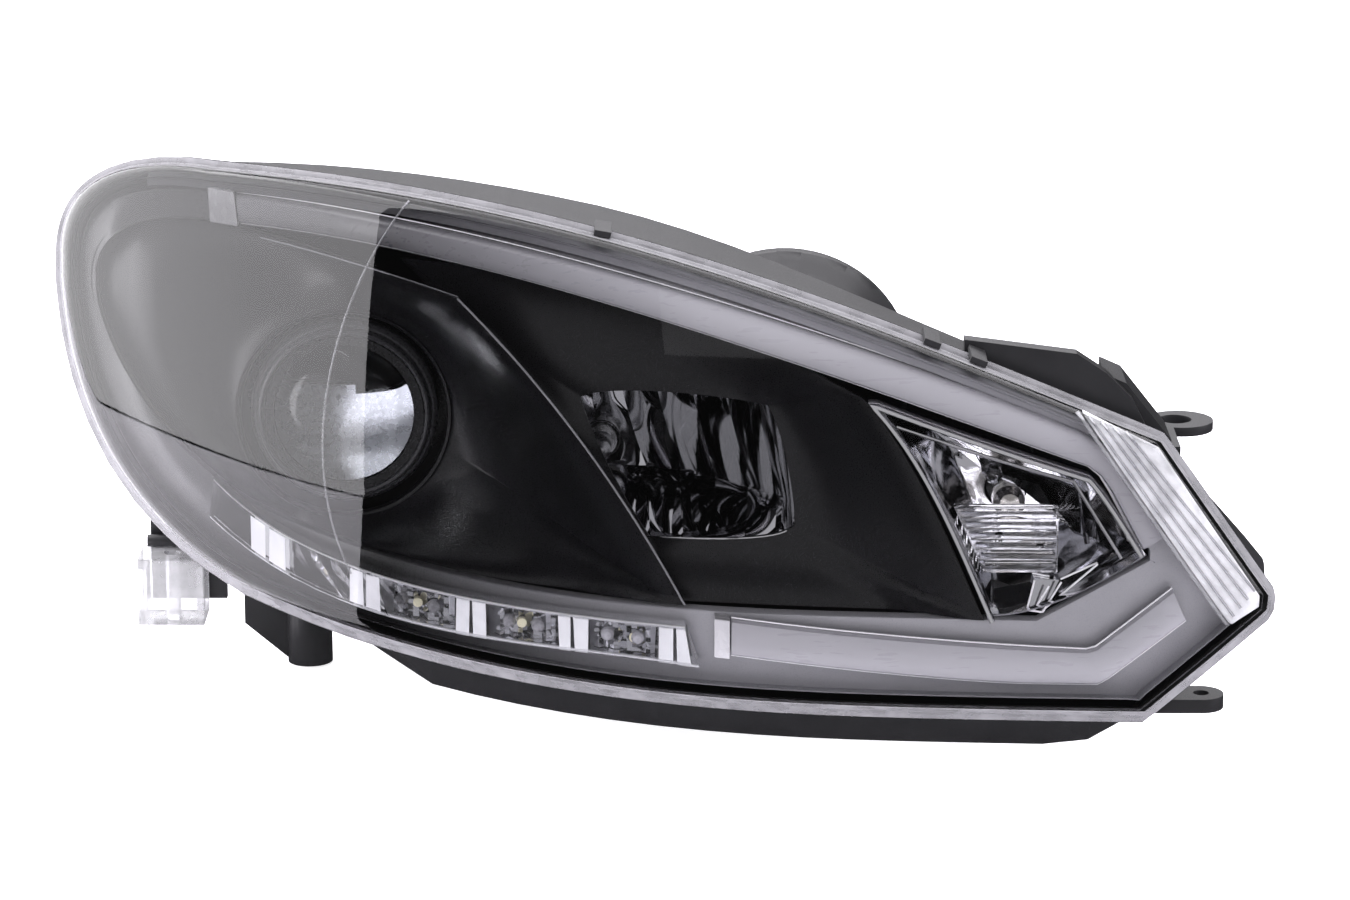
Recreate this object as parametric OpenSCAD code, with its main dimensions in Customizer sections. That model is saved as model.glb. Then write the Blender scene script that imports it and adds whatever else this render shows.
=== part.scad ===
// Car headlight assembly. +X points to the car's centre, -Y to the front, +Z up.
// The origin is the centre of the inner top tab's hole, on the tab's top face.

/* [Cover lens] */
// Wall thickness of the cover lens
lens_t = 3; // [2:0.5:4]
// Depth of the lens skirt behind its rounded front edge
skirt_d = 20; // [14:1:20]
// Outward flare of the skirt at its rear edge
skirt_flare = 3; // [2:0.5:4]
// How far the rim drops for each millimetre that it goes back
rim_drop = 0.3; // [0.2:0.02:0.34]
// Radius of the rounded front edge
edge_r = 5; // [3:0.5:6]
// How far the outer end of the lens sweeps back
wrap_d = 200; // [195:1:203]

/* [Housing] */
// Wall thickness of the housing
wall = 3; // [2.5:0.5:3.5]
// Height of the flange that carries the lens, beyond the lens outline
flange_w = 6; // [6:0.5:7]
// How far the housing's top lies below the height of the lens outline behind the flange
top_drop = 10; // [6:1:11]
// How far the belly hangs below the lens
belly_drop = 27; // [20:1:30]
// Depth of the housing's rear wall at the outer end
rear_outer = 165; // [160:1:168]
// Depth of the housing's rear wall at the inner end
rear_inner = 34; // [32:1:38]

/* [Projector] */
// Radius of the round hole in the projector surround
surround_r = 44; // [43:0.5:46]
// Radius of the aspheric glass lens
glass_r = 30; // [28:0.5:30.5]
// Height of the glass lens's dome
glass_sag = 16; // [12:1:18]
// Largest inside radius of the reflector bowl
bowl_r = 36; // [34:0.5:37]
// Radius of the low-beam rear opening
low_open_r = 50; // [47:1:51]

/* [High beam] */
// Focal length of the high-beam paraboloid
beam_focus = 22; // [21:0.5:24]
// Radius of the high-beam bulb hole
beam_hole_r = 7.2; // [7:0.1:7.6]
// Radius of the high-beam rear opening
high_open_r = 46; // [44:1:47]

/* [Turn signal] */
// Radius of the turn bulb hole in its reflector
turn_hole_r = 9; // [8.5:0.5:10]
// Radius of the turn bulb holder where it passes through the housing
turn_plug_r = 15; // [14:0.5:16]

/* [Light strips] */
// Thickness of the frosted light guides
guide_t = 8; // [6:0.5:8]
// Number of chambers in the daytime strip
drl_count = 5; // [4:1:5]

/* [Aiming] */
// Radius of the pivot and push-rod balls
ball_r = 5; // [4.5:0.1:5.2]
// Radius of the push rods
rod_r = 2.5; // [2:0.1:3]
// Thickness of the carrier plate
plate_t = 4; // [3:0.5:4]

/* [Mounts] */
// Radius of the inner tab's hole
tab_hole_r = 6.9; // [6:0.1:7]
// Thickness of the inner tab
tab_t = 4; // [3:0.5:5]
// Radius of the screw hole in the white block
block_hole_r = 3.3; // [3:0.1:4]
// Radius of the lower post
post_r = 10; // [9:0.5:11]
// Thread radius of the lower post's insert
post_thread_r = 3; // [2.5:0.5:3]
// Radius of the hole in the lower inner lug
lug_hole_r = 3.3; // [3:0.1:4]

/* [Hidden] */

$fn = 64;
gap = 0.3;            // clearance between pieces that don't touch

// --- the swept front face of the lens, as a function of a point [x, z] ---
front_y = -95;        // foremost depth
wrap_x = -120;        // where the face starts to sweep back
function mix(a, b, t) = a + (b - a) * t;
function ease(t) = let (c = max(0, min(1, t))) c * c * (3 - 2 * c);
function front(p) = front_y + 0.16 * (p.y + 20) + 10 * pow(p.y / 100, 2)
    + (p.x > wrap_x ? 14 * pow((p.x - wrap_x) / 155, 2) : wrap_d * pow((wrap_x - p.x) / 350, 2.3));
function at(p, d) = [p.x, front(p) + d, p.y];    // the point at depth d behind the lens face
function rear(p) = rear_inner + (rear_outer - rear_inner) * ease((-60 - p.x) / 200) + max(0, -400 - p.x) * 0.3;

// --- curves ---
function bez(c, t) = pow(1 - t, 3) * c[0] + 3 * pow(1 - t, 2) * t * c[1]
    + 3 * (1 - t) * t * t * c[2] + pow(t, 3) * c[3];
function curve(c, n) = [for (i = [0:n]) bez(c, i / n)];
function line(a, b, n) = [for (i = [0:n]) mix(a, b, i / n)];
function tail(a) = [for (i = [1:len(a) - 1]) a[i]];
function flip(a) = [for (i = [len(a) - 1:-1:0]) a[i]];
function chain(a, b, c) = concat(a, tail(b), tail(c));
function open_loop(sides) = [for (s = sides) for (i = [0:len(s) - 2]) s[i]];
function grow(loop, d) = let (n = len(loop)) [for (k = [0:n - 1])
    let (t = loop[(k + 1) % n] - loop[(k + n - 1) % n]) loop[k] + d * [-t.y, t.x] / norm(t)];

// The lens outline, and the edge of the opening in the bezel, in matching stations
seg = [8, 20, 4];                                 // stations on the outer end, the long side and the nose
M = seg[0] + seg[1] + seg[2];
S = [0, 0.03, 0.12, 0.28, 0.44, 0.6, 0.76, 0.9, 0.97, 1];   // stations from the top edge to the bottom edge
K = len(S) - 1;
NL = 2 * (M + K);
edge_top = chain(curve([[-483.5, 41], [-482.5, 76], [-443, 91], [-409.5, 93]], seg[0]),
    curve([[-409.5, 93], [-255, 112.5], [-143.5, 66.5], [-14, 11.5]], seg[1]), line([-14, 11.5], [31.5, -53], seg[2]));
edge_bottom = chain(curve([[-483.5, 29], [-479, -29], [-450, -64], [-395.5, -78.5]], seg[0]),
    curve([[-395.5, -78.5], [-300, -95], [-140.5, -93], [-18.5, -100]], seg[1]), line([-18.5, -100], [31, -59], seg[2]));
inner_top = chain(curve([[-468, 30], [-467, 52], [-440, 66], [-405, 68]], seg[0]),
    curve([[-405, 68], [-274, 84], [-152, 39], [-37, -4]], seg[1]), line([-37, -4], [-16, -38], seg[2]));
inner_bottom = chain(curve([[-468, 26], [-466, 0], [-436, -34], [-393, -48]], seg[0]),
    curve([[-393, -48], [-289, -68], [-183, -60], [-62, -66]], seg[1]), line([-62, -66], [-16, -42], seg[2]));
function ring_of(top, bottom) = concat(top, [for (j = [1:K]) mix(top[M], bottom[M], S[j])],
    [for (i = [M - 1:-1:0]) bottom[i]], [for (j = [K - 1:-1:1]) mix(top[0], bottom[0], S[j])]);
outline = ring_of(edge_top, edge_bottom);
inner_ring = ring_of(inner_top, inner_bottom);

// --- closed shells ---
function below(i) = 2 * M + K - i;                // loop index of the bottom point under top point i
function spot(loop, i, j) = mix(loop[i], loop[below(i)], S[j]);
function slot_of(k) = k <= M ? k * (K + 1) : k <= M + K ? M * (K + 1) + k - M
    : k <= 2 * M + K ? (2 * M + K - k) * (K + 1) + K : 2 * M + 2 * K - k;
function quad(a, b, c, d, rev) = rev ? [[c, b, a], [d, c, a]] : [[a, b, c], [a, c, d]];
function vid(r, k, base) = base + (r == 0 ? slot_of(k % NL) : (M + 1) * (K + 1) + (r - 1) * NL + k % NL);
function skin(base, rings, rev) = concat(
    [for (i = [0:M - 1]) for (j = [0:K - 1]) let (a = base + i * (K + 1) + j)
        each quad(a, a + K + 1, a + K + 2, a + 1, rev)],
    [for (r = [0:rings - 1]) for (k = [0:NL - 1])
        each quad(vid(r, k, base), vid(r + 1, k, base), vid(r + 1, k + 1, base), vid(r, k + 1, base), rev)]);

// A bowl: a grid of points closed by rings, outside and inside, joined at its rim
module bowl(cap_out, rings_out, cap_in, rings_in, rev = false) {
    n = len(rings_out);
    base = len(cap_out) + n * NL;
    points = concat(cap_out, [for (r = rings_out) each r], cap_in, [for (r = rings_in) each r]);
    rim = [for (k = [0:NL - 1])
        each quad(vid(n, k + 1, 0), vid(n, k, 0), vid(n, k, base), vid(n, k + 1, base), rev)];
    polyhedron(points, concat(skin(0, n, rev), skin(base, n, !rev), rim));
}

// A closed solid between two grids of points joined by rings
module block(cap_a, rings, cap_b) {
    n = len(rings);
    base = len(cap_a) + n * NL;
    sides = [for (k = [0:NL - 1])
        quad(vid(n, k, 0), base + slot_of(k), base + slot_of((k + 1) % NL), vid(n, k + 1, 0), true)];
    polyhedron(concat(cap_a, [for (r = rings) each r], cap_b),
        concat(skin(0, n, true), [for (q = sides) each q], skin(base, 0, false)));
}

// A closed band: rings of equal length, the last joined back to the first
module band(rings) {
    n = len(rings[0]);
    m = len(rings);
    polyhedron([for (r = rings) each r], [for (r = [0:m - 1]) for (k = [0:n - 1])
        let (a = r * n, b = ((r + 1) % m) * n, q = (k + 1) % n) each quad(a + k, b + k, b + q, a + q, true)]);
}

// A bar: one profile of 2n points at each station along a path, closed at both ends
module bar(stations) {
    n = len(stations[0]);
    m = len(stations);
    function cap(base, rev) = [for (k = [0:n / 2 - 2])
        each quad(base + k, base + k + 1, base + n - 2 - k, base + n - 1 - k, rev)];
    polyhedron([for (s = stations) each s], concat(cap(0, false), cap((m - 1) * n, true),
        [for (r = [0:m - 2]) for (k = [0:n - 1]) let (a = r * n, b = a + n, q = (k + 1) % n)
            each quad(a + k, b + k, b + q, a + q, false)]));
}

// A strip between two edges on the lens face, cross-section given as [place across, depth]
module strip(low, high, shape) {
    bar([for (i = [0:len(low) - 1]) [for (s = shape) at(mix(low[i], high[i], s.x), s.y)]]);
}

module along_y(c) translate([c.x, 0, c.y]) rotate([-90, 0, 0]) children();
module turned(c, profile) along_y(c) rotate_extrude() polygon(profile);
module disc(c, y0, y1, r) along_y(c) translate([0, 0, y0]) cylinder(r = r, h = y1 - y0);
module tube(c, y0, y1, r, hole) difference() {
    disc(c, y0, y1, r);
    disc(c, y0 - 1, y1 + 1, hole);
}

// --- centres, as [x, z] ---
low_c = [-351, -5];
high_c = [-241.5, -17];
low_cap_c = low_c;
high_cap_c = [-222, -16];
turn_c = [-72, -24];
pivot_c = [-163, -62];
level_c = [-163, 20];
aim_c = [-395, -62];
dome_c = [-163, 3];
hinge_y = 80;                                     // depth of the pivot, level and aim balls
plate_y = 68;                                     // front face of the carrier plate
hole_y = 28;                                      // depth of the projector hole's edge

// ================= cover lens and seal =================
module lens_cover() {
    // depth added near the edge, so that the face rolls over with radius edge_r
    function roll(d, r) = d >= r ? 0 : r - sqrt(r * r - pow(r - d, 2));
    function edge_gap(loop, i, j) = i == 0 || i == M ? 0 : let (h = norm(loop[i] - loop[below(i)]),
        p = spot(loop, i, j)) min(S[j] * h, (1 - S[j]) * h, norm(p - spot(loop, 0, 5)), norm(p - spot(loop, M, 5)));
    function face(loop, depth, r) = [for (i = [0:M]) for (j = [0:K])
        at(spot(loop, i, j), depth + roll(edge_gap(loop, i, j), r))];
    function skirt(d) = [rim(skirt_flare / 2 + d, edge_r + skirt_d / 2), rim(skirt_flare + d, edge_r + skirt_d)];
    inside = grow(outline, -lens_t);
    color([0.9, 0.92, 0.95, 0.35]) bowl(
        face(outline, 0, edge_r), skirt(0),
        face(inside, lens_t, edge_r), skirt(-lens_t));
}

function around(loop, d, depth) = [for (k = [0:len(loop) - 1])
    let (p = grow(loop, d)[k]) [p.x, front(loop[k]) + depth, p.y]];
// a ring round the outline that drops as it goes back, the way the rim does
function rim(d, depth) = [for (p = around(outline, d, depth)) p - [0, 0, rim_drop * max(0, depth - edge_r)]];
seal_y = edge_r + skirt_d;
flange_y = seal_y + 2.6;

module lens_seal() {
    color([0.08, 0.08, 0.08]) let (y0 = seal_y + gap, y1 = flange_y - gap, d0 = skirt_flare - 4, d1 = skirt_flare + 1)
        band([rim(d1, y0), rim(d0, y0), rim(d0, y1), rim(d1, y1)]);
}

// ================= housing =================
rear_top = chain(curve([[-470, 20], [-468, 42], [-440, 54], [-395, 58]], seg[0]),
    curve([[-395, 58], [-290, 62], [-150, 22], [-40, 12]], seg[1]), line([-40, 12], [8, -44], seg[2]));
rear_bottom = chain(curve([[-470, 8], [-468, -40], [-450, -80], [-400, -86]], seg[0]),
    curve([[-400, -86], [-320, -108], [-180, -108], [-36, -84]], seg[1]), line([-36, -84], [6, -56], seg[2]));
rear_ring = ring_of(rear_top, rear_bottom);
// the outline of the belly: the lens outline, dropped along the lower side
function drop(p) = p.y > -70 ? 0 : belly_drop * ease((p.x + 372) / 60) * ease((12 - p.x) / 60);
belly_ring = [for (p = grow(outline, 4)) [p.x, p.y - drop(p) - top_drop * ease((p.y + 60) / 60)]];

function skin_ring(loop, d, depth) = [for (k = [0:NL - 1])
    let (p = grow(loop, d)[k]) [p.x, front(outline[k]) + depth, p.y]];
function rear_cap(d, inset) = let (g = grow(rear_ring, -inset))
    [for (i = [0:M]) for (j = [0:K]) let (p = spot(g, i, j)) [p.x, rear(p) - d, p.y]];
function rear_edge(d) = let (g = grow(rear_ring, d))
    [for (k = [0:NL - 1]) [g[k].x, rear(rear_ring[k]) - 6, g[k].y]];
// the shell's rings from the rear edge to the flange, at a distance t inside its outer surface
function shell_rings(t) = let (edge = rear_edge(4 - t), belly = skin_ring(belly_ring, -t, 52)) [edge,
    [for (k = [0:NL - 1]) let (a = belly[k], b = edge[k]) [mix(a.x, b.x, 0.2), mix(a.y, b.y, 0.45), mix(a.z, b.z, 0.2)]],
    belly, rim(3 - t, 36), rim(flange_w - t * 2, flange_y + 4), rim(flange_w - t * 2, flange_y)];
// the room inside the shell, run out past the flange
module shell_room() block(rear_cap(wall, 2), shell_rings(wall),
    [for (i = [0:M]) for (j = [0:K]) at(spot(outline, i, j), flange_y - 6)]);
// the shell with its room filled in, so that a mount ends on the shell's outer surface
module shell_solid() block(rear_cap(0, 0), shell_rings(0),
    [for (i = [0:M]) for (j = [0:K]) at(spot(outline, i, j), flange_y)]);

module housing() color([0.1, 0.1, 0.1]) difference() {
    union() {
        bowl(rear_cap(0, 0), shell_rings(0), rear_cap(wall, 2), shell_rings(wall), true);
        difference() {
            union() {
                tube(low_cap_c, 140, low_cap_y, low_open_r + wall, low_open_r);
                tube(high_cap_c, 100, high_cap_y, high_open_r + wall, high_open_r);
                dome();
            }
            shell_room();
        }
        disc(pivot_c, 90, 112, 11);
        disc(aim_c, 158, 171, 9);
        disc(turn_c, 30, 44, turn_plug_r + 8);
    }
    disc(low_cap_c, 120, 190, low_open_r);
    disc(high_cap_c, 60, 190, high_open_r);
    dome_hollow();
    disc(pivot_c, 80, 120, 4);
    for (y = [76, 106]) disc(pivot_c, y, y + 20, 8.5);
    disc(aim_c, 140, 190, 5);
    disc(turn_c, 10, 60, turn_plug_r + gap);
    disc(turn_c, 37, 60, turn_plug_r + 5);
    disc(level_c, 110, 140, 4.5);
    disc(vent_c, 150, 190, 5);
    translate(socket_at - [14, 30, 9]) cube([28, 60, 18]);
    translate([0, 0, -40]) cylinder(r = tab_hole_r + 1, h = 80);
}
// The levelling motor's dome on the rear
dome_rear = 126;
vent_c = [-280, 32];
module dome() turned(dome_c, [[0, 30], [44, 30], [57, 52], [56, 64], [46, 104], [42, 120], [36, dome_rear], [0, dome_rear]]);
module dome_hollow() turned(dome_c, [[0, 33], [42, 33], [54, 52], [53, 64], [43, 104], [39, 118],
    [34, dome_rear - wall], [0, dome_rear - wall]]);

// ================= bezel =================
bezel_t = 2.5;
tuck = 32;            // depth at which the surrounds pass behind the bezel frame's edge
module bezel_frame() {
    half = [for (k = [0:NL - 1]) mix(outline[k], inner_ring[k], 0.5)];
    color([0.12, 0.12, 0.13]) band([rim(-4.5, flange_y), rim(-4.5, 11), rim(-6, 23.5),
        around(half, 0, 24), around(inner_ring, 0, 24), around(inner_ring, 0, 31),
        around(inner_ring, bezel_t, 31), around(inner_ring, bezel_t, 24 + bezel_t), around(half, 0, 24 + bezel_t),
        rim(-6, flange_y)]);
}

// A surround is a sheet from its outer edge to its opening, eased in depth through these stations
bezel_steps = [[0, 0], [0.12, 0.08], [0.35, 0.32], [0.65, 0.68], [0.88, 0.94], [1, 1]];
function behind(rings, t) = [for (r = flip(rings)) [for (p = r) p + [0, t, 0]]];
module surround(outer, hole) {
    sheet = [for (s = bezel_steps) [for (k = [0:len(outer) - 1])
        [mix(outer[k].x, hole[k].x, s.x), mix(outer[k].y, hole[k].y, s.y), mix(outer[k].z, hole[k].z, s.x)]]];
    color([0.07, 0.07, 0.075]) band(concat(sheet, behind(sheet, bezel_t)));
}
side_n = 12;
blade = [[-300, 56], [-258, 22], [-229, -18], [-206, -60]];
// depth along a side that runs from d0 to d1 within the first or last stations
function ramp(d0, d1, first, last) = [for (i = [0:side_n - 1]) mix(d0, d1, ease((i - first) / (last - first)))];
module projector_surround() {
    top = curve([[-462, 52], [-446, 67], [-380, 72], blade[0]], side_n);
    right = curve(blade, side_n);
    bottom = curve([blade[3], [-262, -61], [-330, -63], [-395, -48.5]], side_n);
    left = curve([[-395, -48.5], [-440, -33], [-476, -4], [-462, 52]], side_n);
    depth = concat(ramp(tuck, 20, 7, 12), ramp(20, 20, 0, 1), ramp(20, tuck, 0, 4), ramp(tuck, tuck, 0, 1));
    loop = open_loop([top, right, bottom, left]);
    outer = [for (k = [0:len(loop) - 1]) at(loop[k], depth[k])];
    hole = [for (p = loop) let (d = p - low_c, q = low_c + surround_r * d / norm(d)) [q.x, hole_y, q.y]];
    surround(outer, hole);
}

chrome_edge = [[-134, 25], [-111, 2], [-96.5, -36], [-84, -64]];
module beam_surround() {
    top = curve([[-325, 66], [-270, 71], [-190, 54], [-134, 27]], side_n);
    right = curve([[-134, 27], chrome_edge[1], chrome_edge[2], chrome_edge[3]], side_n);
    bottom = curve([chrome_edge[3], [-120, -63], [-170, -61], [-214, -62]], side_n);
    left = curve([[-214, -62], [-238, -18], [-267, 22], [-325, 66]], side_n);
    depth = concat(ramp(tuck, 19, 9, 12), ramp(19, 19, 0, 1), ramp(19, tuck, 0, 4), ramp(tuck, tuck, 0, 1));
    loop = open_loop([top, right, bottom, left]);
    hole = open_loop([curve([[-249, 17], [-236, 24], [-190, 22], [-172, 18]], side_n),
        curve([[-172, 18], [-165, 8], [-160, -24], [-161, -31]], side_n),
        curve([[-161, -31], [-168, -38], [-204, -38], [-220, -39]], side_n),
        curve([[-220, -39], [-230, -26], [-246, 4], [-249, 17]], side_n)]);
    surround([for (k = [0:len(loop) - 1]) at(loop[k], depth[k])], [for (p = hole) at(p, 41)]);
}

// ================= turn signal =================
turn_loop = open_loop([curve([[-131, 24], [-100, 13], [-70, 3], [-40, -7]], side_n),
    curve([[-40, -7], [-34, -13], [-23, -31], [-17, -40]], side_n),
    curve([[-17, -40], [-34, -50], [-58, -64], [-81, -64]], side_n),
    curve([[-81, -64], [-92, -36], [-107, 2], [-131, 24]], side_n)]);
turn_floor_y = -22;
module turn_reflector() {
    floor_loop = [for (p = turn_loop) mix(p, turn_c, 0.42)];
    rim = [for (p = turn_loop) at(p, tuck)];
    floor_ring = [for (p = floor_loop) [p.x, turn_floor_y, p.y]];
    wall_ring = [for (p = turn_loop) let (q = mix(p, turn_c, 0.22)) [q.x, mix(front(p) + tuck, turn_floor_y, 0.75), q.y]];
    hole = [for (p = turn_loop) let (d = p - turn_c, q = turn_c + turn_hole_r * d / norm(d)) [q.x, turn_floor_y + 3, q.y]];
    inside = [rim, wall_ring, floor_ring, hole];
    color([0.85, 0.86, 0.88]) band(concat(inside, behind(inside, 2)));
}

module turn_trim() {
    left = flip(curve([for (p = chrome_edge) p + [3.2, 0]], 16));
    top = curve([[-132, 25], [-101, 14], [-72, 4], [-42, -6]], 16);
    nose = curve([[-42, -6], [-36, -12], [-25, -30], [-20, -38]], 8);
    path = chain(left, top, nose);
    function side(i) = let (a = path[max(0, i - 1)], b = path[min(len(path) - 1, i + 1)], t = (b - a) / norm(b - a))
        [-t.y, t.x];
    color([0.9, 0.9, 0.92]) bar([for (i = [0:len(path) - 1]) let (p = path[i], n = side(i) * 1.1)
        [at(p + n, tuck - 2), at(p + n, 15.5), at(p - n, 15.5), at(p - n, tuck - 2)]]);
}

prism_y = -60;
module turn_prism() color([0.9, 0.9, 0.9, 0.5]) union() {
    plate([[-95.5, -22], [-53, -22], [-53, -49], [-83, -49]], prism_y, prism_y + 8);
    for (i = [0:5]) let (z = -24.5 - i * 4.4, x = -94 - (z + 22) * 0.46) translate([x, prism_y, z]) rotate([0, 90, 0])
        cylinder(r = 1.8, h = -54 - x, $fn = 24);
    for (c = [[-77, -37], [-60, -40]]) disc(c, prism_y + 7, turn_floor_y - gap, 1.6);
}

module turn_bulb() color([0.95, 0.75, 0.4, 0.6]) turned(turn_c,
    [[0, -46], [4, -45], [6.6, -41], [7, -36], [6.6, -30], [4.5, -24], [4.5, -8], [0, -8]]);

module turn_bulb_holder() color([0.15, 0.15, 0.15]) difference() {
    union() {
        turned(turn_c, [[0, -17], [8, -17], [8, 0], [turn_plug_r, 8], [turn_plug_r, 40], [19, 40], [19, 45],
            [11, 46], [0, 46]]);
        translate([turn_c.x - 2, 44, turn_c.y - 15]) cube([4, 14, 30]);
        translate([turn_c.x - 9, 44, turn_c.y - 6]) cube([18, 18, 12]);
    }
    disc(turn_c, -18, -7.7, 4.8);
    translate([turn_c.x - 7, 50, turn_c.y - 4]) cube([14, 20, 8]);
}

module turn_holder_seal() color([0.05, 0.05, 0.05]) tube(turn_c, 37, 40, 18.5, turn_plug_r + gap);

// ================= light guides =================
guide_front = 14;
bar_shape = [[0.12, guide_front], [0, guide_front + 2.5], [0, guide_front + guide_t - 2], [0.12, guide_front + guide_t],
    [0.88, guide_front + guide_t], [1, guide_front + guide_t - 2], [1, guide_front + 2.5], [0.88, guide_front]];
module upper_light_guide() {
    low = chain(curve([[-396, 71], [-274, 84.5], [-152, 40], [-42, -1]], 18), [[-42, -1], [-37, -5], [-33, -11]],
        line([-33, -11], [-20, -35], 3));
    high = chain(curve([[-398, 82.5], [-281, 94], [-159, 60.5], [-46, 13.5]], 18), [[-46, 13.5], [-34, 7], [-25, -2]],
        line([-25, -2], [-10, -29], 3));
    color([0.82, 0.82, 0.84]) strip(low, high, bar_shape);
}
module lower_light_guide() {
    low = chain(curve([[-187, -79.5], [-140, -84], [-90, -90], [-62, -91]], 12), [[-62, -91], [-37, -92], [-33, -90]],
        line([-33, -90], [-1, -66], 5));
    high = chain(curve([[-187, -63.5], [-140, -68], [-100, -72], [-62, -75]], 12), [[-62, -75], [-42, -76.5], [-38, -75.5]],
        line([-38, -75.5], [-7, -52], 5));
    color([0.82, 0.82, 0.84]) strip(low, high, bar_shape);
}
module coupler(low, high) strip(low, high, [[0, guide_front - 1], [0, guide_front + guide_t + 0.5],
    [1, guide_front + guide_t + 0.5], [1, guide_front - 1]]);
module upper_guide_led() color([0.9, 0.9, 0.92]) coupler([[-410, 69.5], [-396.6, 70.5]], [[-411, 83.5], [-398.6, 84]]);
module lower_guide_led() color([0.9, 0.9, 0.92]) coupler([[-194, -79.5], [-187.6, -80]], [[-194, -63], [-187.6, -63.5]]);

// ================= daytime strip =================
drl_n = 20;
drl_low = curve([[-411, -56], [-352, -93], [-265, -75.5], [-200, -84]], drl_n);
drl_high = curve([[-409, -39], [-368, -68], [-300, -64.5], [-206, -67]], drl_n);
drl_wall = 0.12;
drl_front = 12.5;
module drl_reflector() {
    channel = [[0, drl_front], [0, 23], [1, 23], [1, drl_front], [1 - drl_wall, drl_front],
        [1 - drl_wall, 21.5], [drl_wall, 21.5], [drl_wall, drl_front]];
    color([0.85, 0.85, 0.87]) union() {
        strip(drl_low, drl_high, channel);
        for (c = [0:drl_count]) let (i = min(drl_n - 1, c * drl_n / drl_count), j = i + 1) strip(
            [drl_low[i], mix(drl_low[i], drl_low[j], 0.3)], [drl_high[i], mix(drl_high[i], drl_high[j], 0.3)],
            [[0.02, drl_front], [0.02, 22], [0.98, 22], [0.98, drl_front]]);
    }
}
module drl_lens() color([0.95, 0.95, 0.97, 0.5]) strip(drl_low, drl_high,
    [[0.02, drl_front - 2], [0.02, drl_front - 0.3], [0.98, drl_front - 0.3], [0.98, drl_front - 2]]);
function drl_mid(c) = let (i = round((c + 0.55) * drl_n / drl_count)) mix(drl_low[i], drl_high[i], 0.5);
module drl_led_board() color([0.95, 0.9, 0.6]) for (c = [0:drl_count - 1])
    let (p = drl_mid(c), y = front(p)) disc(p, y + 16, y + 19, 2);

// ================= carrier, projector and high beam =================
plate_rear = plate_y + plate_t;
module carrier_frame() color([0.3, 0.3, 0.32]) difference() {
    union() {
        along_y([0, 0]) translate([0, 0, plate_y]) linear_extrude(plate_t) mirror([0, 1]) difference() {
            union() {
                hull() { spot_2d(low_c, 52); spot_2d([-290, -14], 32); }
                hull() { spot_2d([-290, -14], 30); spot_2d(high_c, 34); }
                hull() { spot_2d(aim_c, 12); spot_2d([-372, -44], 14); }
                hull() { spot_2d(pivot_c, 12); spot_2d([-235, -36], 14); }
                hull() { spot_2d(level_c, 12); spot_2d([-235, 2], 14); }
                hull() { spot_2d(pivot_c, 8); spot_2d(level_c, 8); }
            }
            spot_2d(low_c, bowl_r - 1);
            spot_2d(high_c, 25);
        }
        for (c = [pivot_c, level_c, aim_c]) disc(c, plate_y, hinge_y + 1.5, 11.5);
    }
    socket(pivot_c, ball_r + 3.1);
    socket(level_c, ball_r + 0.35);
    socket(aim_c, ball_r + 0.35);
}
module spot_2d(c, r) translate(c) circle(r = r, $fn = 48);
// The hollow for a ball: round at the bottom, its mouth open to the rear
function ball_arc(r, to) = [for (i = [0:16]) let (a = mix(-90, to, i / 16)) [r * cos(a), hinge_y + r * sin(a)]];
module socket(c, r) turned(c, concat(ball_arc(r, 20), [[r * cos(20), hinge_y + 9], [0, hinge_y + 9]]));

module projector_holder() color([0.12, 0.12, 0.12]) turned(low_c, [[glass_r + 0.2, 27], [34, 27], [34, 40], [38, 60],
    [38, 64], [44, 64], [44, plate_y], [35, plate_y], [34.5, 60], [31, 40], [31, 33.4], [28, 33.4],
    [28, 31.2], [glass_r + 0.2, 31.2]]);

module projector_lens() {
    dome_radius = (glass_r * glass_r + glass_sag * glass_sag) / (2 * glass_sag);
    half_angle = asin(glass_r / dome_radius);
    dome = [for (i = [0:12]) let (a = i / 12 * half_angle) [dome_radius * sin(a), 28 - glass_sag + dome_radius * (1 - cos(a))]];
    color([0.85, 0.88, 0.92, 0.6]) turned(low_c, concat(dome, [[glass_r, 31], [0, 31]]));
}

module projector_trim_ring() color([0.2, 0.2, 0.21]) turned(low_c, [[34.3, 27], [36, 26], [40, 32.5],
    [40, 38], [38.5, 38], [38.5, 33.5], [35.5, 29.5], [34.3, 29.5]]);

bowl_y = plate_rear + 3;                          // where the reflector's flange ends and its bowl begins
neck_y = 120;
module projector_reflector() {
    function bowl_at(y) = bowl_r * sqrt(1 - pow((y - plate_y) / (neck_y + 3 - plate_y), 2));
    inside = [for (i = [0:10]) let (y = mix(bowl_y, neck_y - 1.5, i / 10)) [bowl_at(y), y]];
    color([0.7, 0.71, 0.73]) turned(low_c, concat([[bowl_r, plate_rear], [46, plate_rear], [46, bowl_y], [bowl_r + 3, bowl_y]],
        [for (i = [1:9]) inside[i] + [3, 2]], [[17, neck_y], [17, neck_y + 6], [10.3, neck_y + 6]], [[10.3, neck_y]], flip(inside)));
}

module cutoff_shield() color([0.5, 0.5, 0.52]) difference() {
    disc(low_c, 50, 51.2, 31);
    translate([low_c.x - 40, 45, low_c.y]) cube([42, 10, 40]);
    translate([low_c.x + 1, 45, low_c.y - 2]) rotate([0, -2, 0]) cube([42, 10, 40]);
}

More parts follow.
